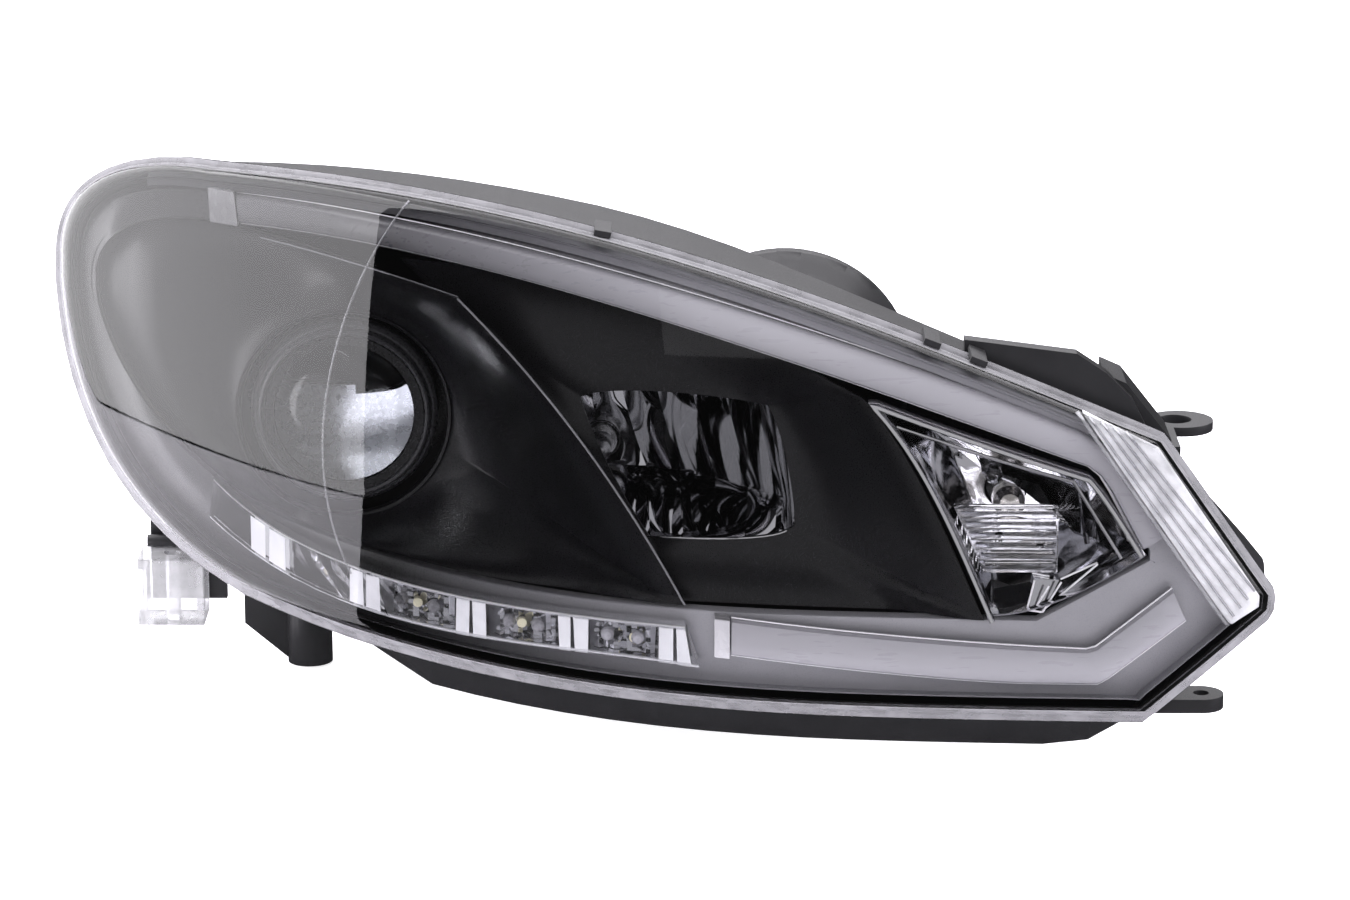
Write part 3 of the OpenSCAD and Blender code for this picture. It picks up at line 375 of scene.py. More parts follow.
def make_materials():
    """Every material by name."""
    def solid(name, *a, **k):
        return Material(name).solid(*a, **k)
    return {
        "cover": Material("cover").clear(1.6, (0.975, 0.975, 0.98), 0.02),
        "skirt": Material("skirt").clear(1.5, (0.93, 0.93, 0.94), 0.08, 0.5, (0.3, 0.296, 0.312)),
        "crease": Material("crease").clear(1.9, (0.8, 0.8, 0.82), 0.1, 0.16),
        "ridge": Material("ridge").clear(2.0, (0.75, 0.75, 0.78), 0.06, 0.3, (0.92, 0.92, 0.94)),
        # left= paints shade: the bezel, sill, guide and coupler colours are darkened toward the lamp's
        # outer end
        "bezel": solid("bezel", (0.3, 0.296, 0.316), 0.06, 0.3, 0.05, 2600, 0.02, left=0.06),
        # Painted highlight: grey for the beads on the black surround's folds
        "painted_edge_highlight": solid("painted_edge_highlight", (0.2, 0.2, 0.212), 0.1, 0.2, 0.05, 900, 0.05),
        "surround": solid("surround", (0.0056, 0.0054, 0.0066), 0.25, 0.3, 0.05, 2600, 0.03),
        "housing": solid("housing", (0.015, 0.0148, 0.0165), 0.3, 0.42, 0.08, 2200, 0.2),
        "rubber": solid("rubber", (0.006, 0.006, 0.006), 0.3, 0.7, 0.08, 2000, 0.3),
        "chrome": solid("chrome", (0.86, 0.86, 0.88), 0.03, 0.05, 0.02, 300, 0.015, Metallic=1.0),
        "facet_chrome": solid("facet_chrome", (0.84, 0.84, 0.87), 0.04, 0.09, 0.03, 260, 0.2, Metallic=1.0),
        "trim_chrome": solid("trim_chrome", (0.95, 0.95, 0.96), 0.02, 0.16, 0.04, 500, 0.02, Metallic=1.0),
        "guide": solid("guide", (0.36, 0.353, 0.38), 0.06, 0.32, 0.07, 500, 0.12, (0.12, 1, 1), left=0.25,
                       Coat_Weight=0.3),
        # Painted highlight: white beads standing for glints on the guides' lips and on the turn chamber's
        # facet edges
        "painted_glint": solid("painted_glint", (0.8, 0.79, 0.82), 0.1, 0.25, 0.05, 500, 0.05),
        "coupler": solid("coupler", (0.62, 0.61, 0.64), 0.25, 0.25, 0.08, 260, 0.4, left=0.3,
                         Coat_Weight=0.5),
        "sill": solid("sill", (0.3, 0.296, 0.316), 0.15, 0.35, 0.06, 600, 0.05, (0.1, 1, 1), left=0.2),
        "divider": solid("divider", (0.82, 0.82, 0.84), 0.2, 0.2, 0.05, 300, 0.3, Coat_Weight=0.6),
        "frost": Material("frost").clear(1.5, (0.95, 0.95, 0.96), 0.2, 0.85, (0.85, 0.85, 0.87)),
        "prism": solid("prism", (0.97, 0.97, 0.98), 0.01, 0.04, 0.02, 300, 0.02,
                       Transmission_Weight=1.0, IOR=1.49),
        "lens_glass": solid("lens_glass", (0.93, 0.95, 0.97), 0.01, 0.02, 0.01, 200, 0.01,
                            Transmission_Weight=1.0, IOR=1.52),
        "thin_clear": Material("thin_clear").clear(1.5, (0.97, 0.97, 0.98), 0.05),
        "silvered": solid("silvered", (0.55, 0.53, 0.5), 0.1, 0.18, 0.05, 400, 0.02, Metallic=1.0),
        "carrier": solid("carrier", (0.014, 0.014, 0.015), 0.2, 0.45, 0.08, 1800, 0.3),
        "ring": solid("ring", (0.035, 0.035, 0.038), 0.2, 0.3, 0.06, 900, 0.1),
        "dark": solid("dark", (0.012, 0.012, 0.013), 0.2, 0.3, 0.08, 900, 0.1),
        "bowl": solid("bowl", (0.12, 0.12, 0.126), 0.08, 0.2, 0.06, 500, 0.1, Metallic=1.0),
        "steel": solid("steel", (0.5, 0.5, 0.52), 0.12, 0.28, 0.08, 700, 0.15, (1, 8, 1), Metallic=1.0),
        "nylon": solid("nylon", (0.78, 0.78, 0.77), 0.05, 0.4, 0.08, 500, 0.15, Subsurface_Weight=0.2,
                       Subsurface_Scale=0.004),
        "brass": solid("brass", (0.7, 0.5, 0.22), 0.1, 0.25, 0.06, 600, 0.1, Metallic=1.0),
        "led": solid("led", (0.85, 0.8, 0.55), 0.1, 0.35, 0.05, 400, 0.2),
        "block": Material("block").clear(1.5, (0.96, 0.96, 0.97), 0.08, 0.4, (0.6, 0.6, 0.61)),
    }


M = make_materials()

# ---------------------------------------------------------------- cover lens
def cover_lens():
    """The clear cover: a swept face with a rounded edge, and a stepped skirt that drops as it goes back."""
    top, bottom = edge_pair(3.6)
    near_edge = [0, 0.003, 0.008, 0.016, 0.028, 0.045]
    rows = near_edge + [mix(0.07, 0.93, j / 24) for j in range(25)] + [1 - s for s in reversed(near_edge)]
    loop = ring_of((top, bottom), 36)
    ends = np.array([(p.x, p.y) for p in loop])
    steps = np.roll(ends, -1, axis=0) - ends

    def gap(p):
        """How far p is from the outline."""
        q = np.array((p.x, p.y)) - ends
        t = np.clip((q * steps).sum(1) / (steps * steps).sum(1), 0, 1)
        return float(np.sqrt(((q - t[:, None] * steps) ** 2).sum(1).min()))

    def roll(d):
        """How far the rounded edge has fallen back at d from the outline."""
        return 0.0 if d >= EDGE_R else EDGE_R - math.sqrt(EDGE_R**2 - (EDGE_R - d) ** 2)

    face = []
    for a, b in zip(top, bottom):
        row = []
        for s in rows:
            p = a.lerp(b, s)
            row.append(at(p, roll(gap(p))))
        face.append(row)
    shape = Shape().rings(face, 0, wrap=False)
    skirt = [(0, EDGE_R), (0.9, 11.5), (1.0, 13), (1.7, 13.6), (2.1, 14.6), (2.2, 17), (2.9, 23.6),
             (5.3, 25), (5.6, 25.6), (5.4, 27), (3, 27), (0.2, 25), (-0.5, 19)]
    shape.rings([rim(loop, d, y) for d, y in skirt], 1)
    return shape.make("cover_lens", [M["cover"], M["skirt"]], replaces=["lens_cover"],
                      slot="clear_cover", sharp=50)


def cover_lines():
    """The mould line down the face, the ribs moulded into the inner end, and the end's frosted tip."""
    crease, ridge, frost = range(3)
    shape = Shape()
    mould_line = curve([(-319.6, 96.4), (-352, 56), (-371, -15), (-345.5, -60.4)], 60)
    shape.bead(mould_line, 0.35, 0.42, crease, squeeze=0.5)
    for k in range(5):
        a, b = (-48.5 + 5 * k, 25.5 - 2.1 * k), (14.1 + 2.8 * k, -63.3 + 3.4 * k)
        shape.bead(line(a, b, 24), 1.2, 0.55 if k else 0.8, ridge, squeeze=0.6)
    rib = line((-46, 24.4), (14.6, -62.4), 38)
    edge = chain(line((-46, 25.4), (-15, 9.8), 10), line((-15, 9.8), (27.6, -52.5), 20),
                 line((27.6, -52.5), (27.4, -57), 3), line((27.4, -57), (16.5, -63.6), 5))
    shape.strip(rib, edge, [(0, 4.2), (0, 3.0), (0.5, 2.6), (0.97, 2.6), (1, 3.2), (1, 4.2)], frost)
    return shape.make("cover_lines", [M["crease"], M["ridge"], M["frost"]], slot="clear_cover")


# ---------------------------------------------------------------- bezel
def bezel_frame():
    """The satin frame from the cover's edge to the surrounds, with a sill above the upper guide."""
    frame_number, sill_number = 0, 1
    pair = edge_pair(3)
    loop, hole = ring_of(pair), ring_of(inner_pair(3))
    spans = [Vector((x, z)) for x, _, z in rim(loop, -6, 23.4)]
    rings = [rim(loop, -4.5, FLANGE), rim(loop, -4.5, 12.2), rim(loop, -4.7, 11.3), rim(loop, -5.1, 11.5),
             rim(loop, -5.8, 22.4), rim(loop, -6.4, 23.4)]
    rings += [[at(a.lerp(b, t), 24 - 0.4 * math.sin(math.pi * t)) for a, b in zip(spans, hole)]
              for t in (0.12, 0.3, 0.5, 0.7, 0.88, 0.97)]
    rings += [around(hole, 0.3, 24.2), around(hole, 0, 24.8), around(hole, 0, 31), around(hole, 2.5, 31),
              around(hole, 2.5, 26.5), rim(loop, -8.5, 26.5), rim(loop, -6, FLANGE)]
    shape = Shape().rings(rings, frame_number, loop=True)
    edge = [p for p in pair[0] if -440 < p.x < -16]
    low = [p + Vector((-1.5, -11.5)) for p in edge]
    high = [p + Vector((-0.8, -6.6)) for p in edge]
    sill = [(0, 23.6), (0, 19.5), (0.3, 18.2), (0.7, 16.4), (1, 14.5), (1, 23.6)]
    shape.strip(low, high, sill, sill_number)
    return shape.make("bezel", [M["bezel"], M["sill"]], replaces=["bezel_frame"],
                      slot="bezel_plastic", sharp=40)


# ---------------------------------------------------------------- surrounds
# Points on each side of a surround, and the depth at which its edges tuck behind the bezel frame
SIDE, TUCK = 40, 32
# The middles of the low beam, the high beam and the turn signal
LOW_C, HIGH_C, TURN_C = Vector((-351, -5)), Vector((-241.5, -17)), Vector((-72, -24))
# The free edges of the projector's surround and of the high beam's
BLADE = [(-300, 56), (-258, 22), (-229, -18), (-206, -60)]
CHROME_EDGE = [(-134, 25), (-111, 2), (-96.5, -36), (-84, -64)]


def ramp(a, b, first, last):
    """Depths along one side, from a to b between two of its twelfths."""
    return [mix(a, b, ease((12 * i / SIDE - first) / (last - first))) for i in range(SIDE)]


def surround(shape, outer, hole, lip):
    """A sheet from its outer edge to its opening, rolled back at both."""
    def depth(u):
        return 0.35 * u + 0.65 * ease(u)
    steps = [i / 20 for i in range(21)]
    rings = [[(x, y + 2.5, z) for x, y, z in outer]]
    rings += [[(mix(a[0], b[0], u), mix(a[1], b[1], depth(u)), mix(a[2], b[2], u))
               for a, b in zip(outer, hole)] for u in steps]
    rings += [[(x, y + d, z) for x, y, z in hole] for d in lip]
    shape.rings(rings)


def projector_surround():
    """The black sheet round the projector, with its bead and its blade edge; the grey beads paint the
    highlight lines along its folds.
    """
    opening_r = 44
    sides = [curve([(-462, 52), (-446, 67), (-380, 72), BLADE[0]], SIDE), curve(BLADE, SIDE),
             curve([BLADE[3], (-262, -61), (-330, -63), (-395, -48.5)], SIDE),
             curve([(-395, -48.5), (-440, -33), (-476, -4), (-462, 52)], SIDE)]
    depths = ramp(TUCK, 20, 7, 12) + [20] * SIDE + ramp(20, TUCK, 0, 4) + [TUCK] * SIDE
    loop = closed(*sides)
    outer = [at(p, d) for p, d in zip(loop, depths)]
    hole = []
    for p in loop:
        q = LOW_C + (p - LOW_C).normalized() * opening_r
        hole.append((q.x, 28, q.y))
    shape = Shape()
    surround(shape, outer, hole, (0.6, 2.4))
    lip = [(opening_r, 30.4), (45.4, 29.2), (46.4, 27.2), (45.6, 25.8), (44.4, 26.4), (43.9, 28)]
    shape.turned(LOW_C, lip)
    # Grey beads along the blade and the top fold: painted highlight lines on the black sheet's edges
    shape.bead(sides[1], 19.9, 0.5, 1)
    shape.bead(sides[0][24:], 23, 0.35, 1)
    return shape.make("projector_surround_fine", [M["surround"], M["painted_edge_highlight"]],
                      replaces=["projector_surround"], slot="bezel_plastic", sharp=45)


def beam_surround():
    """The black sheet round the high beam, up to the turn chamber's bright edge."""
    sides = [curve([(-325, 66), (-270, 71), (-190, 54), (-134, 27)], SIDE),
             curve([(-134, 27)] + CHROME_EDGE[1:], SIDE),
             curve([CHROME_EDGE[3], (-120, -63), (-170, -61), (-214, -62)], SIDE),
             curve([(-214, -62), (-238, -18), (-267, 22), (-325, 66)], SIDE)]
    depths = ramp(TUCK, 19, 9, 12) + [19] * SIDE + ramp(19, TUCK, 0, 4) + [TUCK] * SIDE
    window = closed(curve([(-249, 17), (-236, 24), (-190, 22), (-172, 18)], SIDE),
                    curve([(-172, 18), (-165, 8), (-160, -24), (-161, -31)], SIDE),
                    curve([(-161, -31), (-168, -38), (-204, -38), (-220, -39)], SIDE),
                    curve([(-220, -39), (-230, -26), (-246, 4), (-249, 17)], SIDE))
    shape = Shape()
    outer = [at(p, d) for p, d in zip(closed(*sides), depths)]
    surround(shape, outer, [at(p, 41) for p in window], (0.5, 2.2))
    shape.bead(curve([(-226, -38.6), (-204, -37.6), (-172, -38), (-164, -33)], 30), 40.6, 0.55, 1)
    return shape.make("beam_surround_fine", [M["surround"], M["trim_chrome"]], replaces=["beam_surround"],
                      slot="bezel_plastic", sharp=45)


# ---------------------------------------------------------------- high beam
# The bowl's deepest point and four times its focal length
BOWL_Y, BOWL_F4 = 32, 88


def high_beam_reflector():
    """The fluted bowl behind the window: a patch between four side curves, cut by upright flutes."""
    across, down, flutes, break_v, bulb_hole_r = 168, 90, 7, 0.72, 7.6
    top = curve([(-255, 20), (-236, 30), (-190, 28), (-171, 23)], across)
    right = curve([(-171, 23), (-163, 10), (-158, -26), (-159, -36)], down)
    bottom = curve([(-159, -36), (-168, -46), (-214, -47), (-236, -46)], across)[::-1]
    left = curve([(-236, -46), (-252, -28), (-263, 4), (-255, 20)], down)[::-1]

    def place(i, j):
        """A point of the patch, blended from its four sides."""
        u, v = i / across, j / down
        sides = top[i] * (1 - v) + bottom[i] * v + left[j] * (1 - u) + right[j] * u
        corners = (top[0] * (1 - u) + top[-1] * u) * (1 - v)
        corners += (bottom[0] * (1 - u) + bottom[-1] * u) * v
        return sides - corners

    def depth(p, u, v):
        """The bowl's depth, cut by the flutes and by the ledge along its lower edge."""
        f = (u * flutes) % 1
        bowl = BOWL_Y - (p - HIGH_C).length_squared / BOWL_F4
        cut = 4 * f * (1 - f) * 1.5 * ease(((p - HIGH_C).length - 10) / 10)
        edge = front(p.x, p.y)
        ledge = ease((v - break_v) / (1 - break_v)) ** 0.7
        return max(mix(bowl, min(bowl, edge + 58), ledge) - cut, edge + 49)

    rows = []
    for j in range(down + 1):
        v = j / down
        row = []
        for i in range(across + 1):
            p = place(i, j)
            low = max(0, v - break_v) / (1 - break_v)
            p = p - Vector((7 * low * min(1, 4 * i / across, 4 - 4 * i / across), 0))
            row.append((p.x, depth(p, i / across, v), p.y))
        rows.append(row)
    chrome, dark = 0, 1
    shape = Shape()
    verts = [p for row in rows for p in row]
    n = across + 1
    faces = [(j * n + i, j * n + i + 1, (j + 1) * n + i + 1, (j + 1) * n + i)
             for j in range(down) for i in range(across)
             if (Vector((verts[j * n + i][0], verts[j * n + i][2])) - HIGH_C).length > bulb_hole_r]
    shape.add(verts, faces, chrome)
    border = rows[0] + [r[-1] for r in rows[1:]] + rows[-1][-2::-1] + [r[0] for r in rows[-2:0:-1]]
    wall = [(x, min(y, front(x, z) + 56), z) for x, y, z in border]
    back = [(x, y + 2.4, z) for x, y, z in border]
    shape.rings([border, wall, back], chrome)
    for x, z in ((-219, 16), (-196, -17), (-222, -48)):
        start = BOWL_Y + 2.5 - (Vector((x, z)) - HIGH_C).length_squared / BOWL_F4
        shape.turned((x, z), [(4, start), (4, 68), (0.01, 68)], dark, 24, loop=False)
    shape.turned(HIGH_C, [(12, 33), (12, 41), (7.8, 41), (7.8, 31)], dark, 48)
    return shape.make("high_beam_bowl", [M["chrome"], M["dark"]], body=CARRIER,
                      replaces=["high_beam_reflector"], slot="bright_metal", sharp=14)


# ---------------------------------------------------------------- turn signal
def turn_loop(n):
    """The outline of the turn chamber."""
    return closed(curve([(-131, 24), (-100, 13), (-70, 3), (-40, -7)], n),
                  curve([(-40, -7), (-34, -13), (-23, -31), (-17, -40)], n),
                  curve([(-17, -40), (-34, -50), (-58, -64), (-81, -64)], n),
                  curve([(-81, -64), (-92, -36), (-107, 2), (-131, 24)], n))


def turn_reflector():
    """The turn signal's bowl and its bright rim."""
    loop = turn_loop(36)
    floor_y, bulb_hole_r, band_w, wall_end = -22, 9, 11, 0.55

    def level(p, t):
        """Depth of the bowl: t is 0 at the rim and 1 at the bulb hole."""
        edge = front(p.x, p.y) + TUCK
        down = min(1, t / wall_end)
        return mix(edge, floor_y, ease(down) * 0.9 + 0.1 * down) + 3 * max(0, t - 0.5)

    rings = []
    for i in range(31):
        t = i / 30
        ring = []
        for p in loop:
            inner = TURN_C + (p - TURN_C).normalized() * bulb_hole_r
            q = mix(p, inner, t)
            band = abs((q.x * 0.5 + q.y * 0.85) / band_w % 1 - 0.5) * 2
            ring.append((q.x, level(p, t) - 0.7 * band * math.sin(math.pi * min(1, t * 1.4)), q.y))
        rings.append(ring)
    shape = Shape().rings(rings)
    shape.rings([around(loop, -0.2, TUCK), around(loop, -0.2, 24), around(loop, -1.0, 23.4),
                 around(loop, -1.6, TUCK + 1)])
    return shape.make("turn_bowl", [M["facet_chrome"]], replaces=["turn_reflector"],
                      slot="bright_metal", sharp=24)


def turn_trim():
    """The bright blade at the chamber's edge, and a second line inside its upper side."""
    left = curve([(x + 3.2, z) for x, z in CHROME_EDGE], 40)[::-1]
    top = curve([(-130.8, 25), (-101, 14), (-72, 4), (-42, -6)], 40)
    nose = curve([(-42, -6), (-36, -12), (-25, -30), (-20, -38)], 20)
    path = chain(left, top, nose)
    section = ((1.1, 29), (1.1, 16.2), (0.6, 15.5), (-0.6, 15.5), (-1.1, 16.2), (-1.1, 29))
    rows = []
    for i, p in enumerate(path):
        t = (path[min(i + 1, len(path) - 1)] - path[max(i - 1, 0)]).normalized()
        n = Vector((-t.y, t.x))
        rows.append([at(p + n * a, d) for a, d in section])
    shape = Shape().rings(rows, caps=True)
    inner = chain(curve([(-120, 14), (-100, 7.5), (-74, -1.5), (-47.5, -9)], 30),
                  line((-47.5, -9), (-27.5, -41), 16))
    shape.bead(inner, 25, 0.8)
    return shape.make("turn_blade", [M["trim_chrome"]], replaces=["turn_trim"],
                      slot="bright_metal", sharp=40)


def turn_facets():
    """The black floor, the bright wedge, the slanting clear panel and the studs of the turn chamber, with
    white beads along its facet edges as painted highlights.
    """
    bright, black, clear, edge = range(4)
    shape = Shape()
    shape.prism([(-22, -42), (-34, -50), (-58, -63.5), (-80, -63), (-79, -56), (-66, -58), (-50, -54)],
                [-57, -59, -66, -68, -60, -50, -48], -38, black)
    shape.prism([(-63, -50), (-52.5, -51), (-58.5, -62), (-65, -61)], [-66, -64, -68, -70], -56, bright)
    shape.prism([(-86, 0), (-60, -8), (-41, -15), (-36, -36), (-46, -34), (-62, -17), (-84, -9)],
                [-60, -60, -60, -62, -54, -50, -52], [-56, -56, -56, -58, -50, -46, -48], clear)
    # White beads along the facet edges: painted highlights
    for a, b, depth in (((-63, -49.5), (-66, -62), 26), ((-52, -50.5), (-59.5, -63), 26),
                        ((-59.5, -63), (-37, -44), 28), ((-52, -50.5), (-37, -44), 30),
                        ((-66, -62), (-59.5, -63), 26), ((-57, -52), (-63, -62), 26)):
        shape.bead(line(a, b, 8), depth, 0.45, edge)
    shape.bead(line((-44.5, -14), (-41, -37), 12), 34, 1.1, bright)
    shape.bead(line((-86, 1), (-78.5, -12), 8), 33, 1.5, clear)
    small_stud = [(0.01, -71), (1.8, -70.6), (2.3, -69), (2.3, -62)]
    large_stud = [(0.01, -66), (2.6, -65.2), (3.4, -63), (3.4, -55)]
    shape.turned((-79.5, -62.5), small_stud, bright, 24, loop=False)
    shape.turned((-80, -7), large_stud, clear, 24, loop=False)
    return shape.make("turn_facets", [M["facet_chrome"], M["surround"], M["thin_clear"], M["painted_glint"]],
                      slot="bright_metal", sharp=20)


# ---------------------------------------------------------------- light guides
def bar_profile(d0, t):
    """The section of a light guide with a crowned front at depth d0 and a thickness t."""
    return [(0.02, d0 + 3), (0.0, d0 + 5), (0.03, d0 + t - 1), (0.12, d0 + t),
            (0.88, d0 + t), (0.97, d0 + t - 1), (1.0, d0 + 5), (0.98, d0 + 3),
            (0.92, d0 + 1.2), (0.8, d0 + 0.35), (0.6, d0), (0.4, d0), (0.2, d0 + 0.35), (0.08, d0 + 1.2)]


def light_guide(name, replaced, low, high, lines):
    """A frosted bar between two edges; lines holds [place across, depth, radius] of its bright lines, lips
    painted white to stand for their glints.
    """
    shape = Shape().strip(low, high, bar_profile(14, 8))
    for place, depth, r in lines:
        shape.bead([a.lerp(b, place) for a, b in zip(low, high)], depth, r, 1)
    shape.make(name, [M["guide"], M["painted_glint"]], replaces=[replaced], slot="frosted_guide")


def light_guides():
    low = chain(curve([(-396, 71), (-274, 84.5), (-152, 40), (-42, -1)], 70),
                points((-42, -1), (-37, -5), (-33, -11)),
                line((-33, -11), (-20, -35), 10))
    high = chain(curve([(-398, 82.5), (-281, 94), (-159, 60.5), (-46, 13.5)], 70),
                 points((-46, 13.5), (-34, 7), (-25, -2)),
                 line((-25, -2), (-10, -29), 10))
    light_guide("upper_guide_bar", "upper_light_guide", low, high, [(-0.05, 22.4, 0.65), (1.02, 21, 0.3)])
    low = chain(curve([(-187, -79.5), (-140, -84), (-90, -90), (-62, -91)], 40),
                points((-62, -91), (-37, -92), (-33, -90)),
                line((-33, -90), (-1, -66), 12))
    high = chain(curve([(-187, -63.5), (-140, -68), (-100, -72), (-62, -75)], 40),
                 points((-62, -75), (-42, -76.5), (-38, -75.5)),
                 line((-38, -75.5), (-7, -52), 12))
    light_guide("lower_guide_bar", "lower_light_guide", low, high, [(1.02, 17, 0.35), (-0.02, 19, 0.35)])


# ---------------------------------------------------------------- daytime strip
# Steps along the strip, and where each pair of dividers starts and ends along it
DRL_N = 240
DIVIDERS = [(-392, -376), (-347, -334), (-301, -288), (-258, -246), (-217, -203)]


def drl_strip():
    """The bright tray with paired dividers and faceted chambers."""
    tray, facet, dome, divider = range(4)
    low = curve([(-411, -56), (-352, -93), (-265, -75.5), (-200, -84)], DRL_N)
    high = curve([(-409, -39), (-368, -68), (-300, -64.5), (-206, -67)], DRL_N)
    trough = [(0, 14), (0, 23), (1, 23), (1, 14), (0.94, 14), (0.92, 16), (0.91, 22), (0.09, 22),
              (0.08, 16), (0.06, 14)]
    shape = Shape().strip(low, high, trough, tray)
    for s0, s1 in ((0.0, 0.06), (0.93, 1.0)):
        lip = [(s0, 13.9), (s0, 12.9), (s0 + 0.02, 12.5), (s1 - 0.02, 12.5), (s1, 12.9), (s1, 13.9)]
        shape.strip(low, high, lip, divider)

    def crossing(x):
        """The line across the strip at x, as its two ends."""
        a = min(low, key=lambda p: abs(p.x - x))
        b = min(high, key=lambda p: abs(p.x - x))
        return a, b

    for x0, x1 in DIVIDERS:
        for s0, s1 in ((0.0, 0.44), (0.54, 1.0)):
            (a, b), (c, d) = crossing(mix(x0, x1, s0)), crossing(mix(x0, x1, s1))
            ridge = [(0.03, 21), (0.03, 12.6), (0.08, 12.2), (0.92, 12.2), (0.97, 12.6), (0.97, 21)]
            shape.strip(line(a, c, 4), line(b, d, 4), ridge, divider)
    starts = [-403] + [b for _, b in DIVIDERS]
    ends = [a for a, _ in DIVIDERS]
    for x0, x1 in zip(starts, ends):
        rows = []
        for i in range(15):
            a, b = crossing(mix(x0 + 1, x1 - 1, i / 14))
            fold = abs((i / 14 * 4) % 1 - 0.5) * 5
            row = []
            for k in range(9):
                depth = 17.5 + rng.uniform(-0.9, 0.9) + fold - 2.5 * abs(k / 8 - 0.5)
                row.append(at(a.lerp(b, 0.1 + 0.1 * k), depth))
            rows.append(row)
        shape.rings(rows, facet, wrap=False)
        for u in (0.3, 0.7):
            a, b = crossing(mix(x0, x1, u))
            p = a.lerp(b, 0.5)
            y = front(p.x, p.y)
            bump = [(0.01, y + 13.6), (1.6, y + 14.2), (2.6, y + 15.6), (2.9, y + 17.8)]
            shape.turned(p, bump, dome, 20, loop=False)
    return shape.make("drl_tray", [M["trim_chrome"], M["facet_chrome"], M["coupler"], M["divider"]],
                      replaces=["drl_reflector"], slot="bright_metal", sharp=18)


# ---------------------------------------------------------------- projector
def projector():
    """The projector's glass and its trim ring, turned finely."""
    glass_r, sag, base, back = 30, 16, 28, 31
    radius = (glass_r**2 + sag**2) / (2 * sag)
    half = math.asin(glass_r / radius)
    dome = [(max(0.01, radius * math.sin(a)), base - sag + radius * (1 - math.cos(a)))
            for a in (half * i / 40 for i in range(41))]
    shape = Shape().turned(LOW_C, dome + [(glass_r, back), (0.01, back)], loop=False)
    shape.make("projector_glass", [M["lens_glass"]], body=CARRIER, replaces=["projector_lens"],
               slot="lens_glass")
    shape = Shape().turned(LOW_C, [(34.3, 29.5), (34.2, 27.5), (34.7, 26.5), (35.6, 26.1), (36.4, 26.7),
                                   (37.2, 28.9), (37.5, 30.1), (38.4, 30.4), (39.6, 31.9), (40, 33.1),
                                   (40, 38), (38.5, 38), (38.5, 33.5), (35.5, 29.5)])
    shape.make("projector_ring", [M["ring"]], body=CARRIER, replaces=["projector_trim_ring"],
               slot="trim_ring_plastic")


# ---------------------------------------------------------------- CAD nodes that keep their shape
# The material of each node, and the edge radius in millimetres of those whose edges are rounded
LOOK = {
    "lens_seal": "rubber", "housing": "housing", "turn_prism": "prism", "turn_bulb": "silvered",
    "turn_bulb_holder": "carrier", "turn_holder_seal": "rubber", "upper_guide_led": "coupler",
    "lower_guide_led": "coupler", "drl_lens": "thin_clear", "drl_led_board": "led",
    "carrier_frame": "carrier", "projector_holder": "dark", "projector_reflector": "bowl",
    "cutoff_shield": "steel", "low_beam_bulb": "steel", "low_bulb_clip": "steel",
    "high_beam_bulb": "steel", "high_bulb_clip": "steel", "carrier_screws": "steel",
    "pivot_stud": "steel", "pivot_bush": "nylon", "levelling_motor": "carrier", "levelling_rod": "nylon",
    "vertical_adjuster": "nylon", "aim_rod": "nylon", "aim_bearing": "carrier",
    "horizontal_adjuster": "nylon", "low_beam_cap": "housing", "low_cap_seal": "rubber",
    "high_beam_cap": "housing", "high_cap_seal": "rubber", "vent_cap": "rubber",
    "connector_socket": "carrier", "connector_pins": "brass", "rear_screws": "steel",
    "lens_clips": "housing", "inner_bracket": "housing", "lower_lug": "housing", "outer_arm": "housing",
    "lower_post": "housing", "outer_mount_block": "block", "post_insert": "brass"}
ROUNDED = {
    "housing": 0.7, "low_beam_cap": 0.8, "high_beam_cap": 0.8, "carrier_frame": 0.5,
    "connector_socket": 0.5, "turn_bulb_holder": 0.5, "outer_mount_block": 0.8, "levelling_motor": 0.6,
    "lens_clips": 0.4,
    "inner_bracket": 0.7, "lower_lug": 0.7, "outer_arm": 0.6, "lower_post": 0.7, "upper_guide_led": 0.6,
    "lower_guide_led": 0.6, "vent_cap": 0.6}


def dress_cad_nodes():
    """Gives the CAD nodes their materials and rounds their edges."""
    for name, look in LOOK.items():
        o = frame["nodes"][name]
        o.data.materials.clear()
        o.data.materials.append(M[look])
        if name in ROUNDED:
            weld = o.modifiers.new("weld", "WELD")
            weld.merge_threshold = 1e-6
            bevel = o.modifiers.new("round", "BEVEL")
            bevel.width = ROUNDED[name] * MM
            bevel.segments = 2
            bevel.limit_method = "ANGLE"
            bevel.angle_limit = math.radians(35)
            bevel.harden_normals = True


# ---------------------------------------------------------------- stage
def area(name, place, target, width, height, brightness):
    """A soft box of a given brightness, unseen by the camera itself."""
    light = bpy.data.lights.new(name, "AREA")
    light.shape = "RECTANGLE"
    light.size, light.size_y = width, height
    light.energy = brightness * math.pi * width * height
    light.color = (0.98, 0.965, 1)
    o = bpy.data.objects.new(name, light)
    bpy.context.scene.collection.objects.link(o)
    o.location = place
    o.rotation_euler = (Vector(target) - Vector(place)).to_track_quat("-Z", "Y").to_euler()
    o.visible_camera = False
    return o


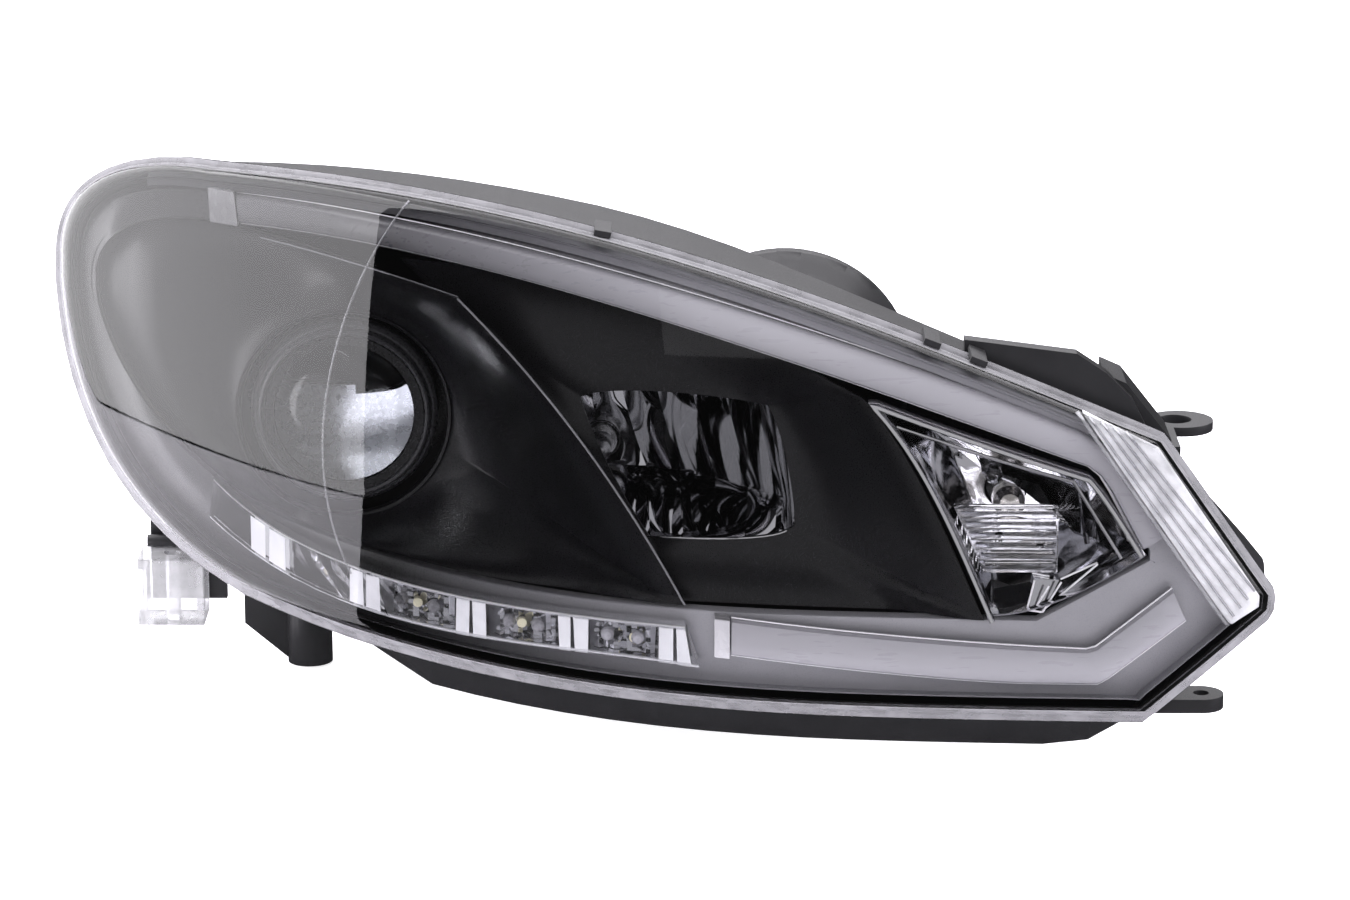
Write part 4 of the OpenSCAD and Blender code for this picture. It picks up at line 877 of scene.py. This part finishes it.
def stage_floor(z):
    """A pale floor in two sheets: only the patch beside the lamp's outer end is seen by mirrors."""
    patch = [(-0.42, -0.037), (-0.42, 1.9), (-1.1, 1.9), (-1.1, -0.246)]
    wide = [(-30, -30), (30, -30), (30, 30), (-30, 30)]
    sheets = (("floor", patch, 0, True, 0.35), ("backdrop", wide, 0.0006, False, 0.8))
    for name, outline, drop, mirrored, glow in sheets:
        m = Material(name)
        d = m.node("BsdfDiffuse")
        lit = m.node("Emission", Color=(1, 1, 1, 1), Strength=glow)
        both = m.node("AddShader")
        m.link(m.tint(m.noise(3, 3), (0.9, 0.885, 0.93), (0.93, 0.915, 0.96)), d.inputs["Color"])
        m.link(d.outputs["BSDF"], both.inputs[0])
        m.link(lit.outputs["Emission"], both.inputs[1])
        m.link(both.outputs["Shader"], m.out.inputs["Surface"])
        mesh = bpy.data.meshes.new(name)
        mesh.from_pydata([(x, y, z - drop) for x, y in outline], [], [(0, 1, 2, 3)])
        mesh.materials.append(m.m)
        o = bpy.data.objects.new(name, mesh)
        bpy.context.scene.collection.objects.link(o)
        o.visible_glossy = mirrored


# How bright the surroundings are to the camera, to matt surfaces, to the cover and to chrome behind it
WHITE, AMBIENT, ROOM, INSIDE = 1.1, 1.9, 0.045, 0.45


def world():
    """Even pale light, but a dark room in the cover's reflections and a dim one in the chrome's."""
    w = bpy.data.worlds.new("studio")
    bpy.context.scene.world = w
    w.use_nodes = True
    nodes, links = w.node_tree.nodes, w.node_tree.links
    nodes.clear()
    out = nodes.new("ShaderNodeOutputWorld")
    path = nodes.new("ShaderNodeLightPath")

    def background(strength):
        b = nodes.new("ShaderNodeBackground")
        b.inputs["Color"].default_value = (0.97, 0.96, 1, 1)
        b.inputs["Strength"].default_value = strength
        return b.outputs["Background"]

    def choose(fac, a, b):
        m = nodes.new("ShaderNodeMixShader")
        links.new(fac, m.inputs["Fac"])
        links.new(a, m.inputs[1])
        links.new(b, m.inputs[2])
        return m.outputs["Shader"]

    inside = nodes.new("ShaderNodeMath")
    inside.operation = "GREATER_THAN"
    inside.inputs[1].default_value = 0.5
    links.new(path.outputs["Transparent Depth"], inside.inputs[0])
    mirrored = choose(inside.outputs["Value"], background(ROOM), background(INSIDE))
    lit = choose(path.outputs["Is Glossy Ray"], background(AMBIENT), mirrored)
    links.new(choose(path.outputs["Is Camera Ray"], lit, background(WHITE)), out.inputs["Surface"])


def lights():
    """Soft boxes round the lamp. The left one makes the haze on the cover's outer end."""
    area("left_box", (-1.1, 0.825, 0.48), (0, 0.825, 0.48), 2.15, 1.24, 3.4)
    area("top_box", (-0.2, 0.5, 1.5), (-0.2, 0, 0), 3.2, 1.8, 2.2)
    area("right_box", (1.3, -0.3, 0.5), (-0.1, 0, 0), 0.9, 1.0, 1.6)
    area("rear_box", (-0.2, 2.4, 0.9), (-0.2, 0, 0), 2.0, 1.0, 1.4)
    fill = area("front_fill", (-0.2, -2.3, 1.25), (-0.2, 0, 0), 2.6, 1.3, 1.6)
    fill.visible_glossy = False


def camera():
    """A long lens two metres in front of the lamp, looking down at it."""
    looking_down = 15.5
    data = bpy.data.cameras.new("camera")
    data.sensor_width = 36
    data.lens = 126.98
    data.clip_start, data.clip_end = 0.05, 100
    o = bpy.data.objects.new("camera", data)
    bpy.context.scene.collection.objects.link(o)
    o.location = (-0.210, -1.93074, 0.52193)
    o.rotation_euler = (math.radians(90 - looking_down), 0, 0)
    bpy.context.scene.camera = o


cover_lens()
cover_lines()
bezel_frame()
projector_surround()
beam_surround()
high_beam_reflector()
turn_reflector()
turn_trim()
turn_facets()
light_guides()
drl_strip()
projector()
dress_cad_nodes()
stage_floor(cad_box[0].z - 0.0005)
world()
lights()
camera()
bpy.context.scene.view_settings.view_transform = "Standard"
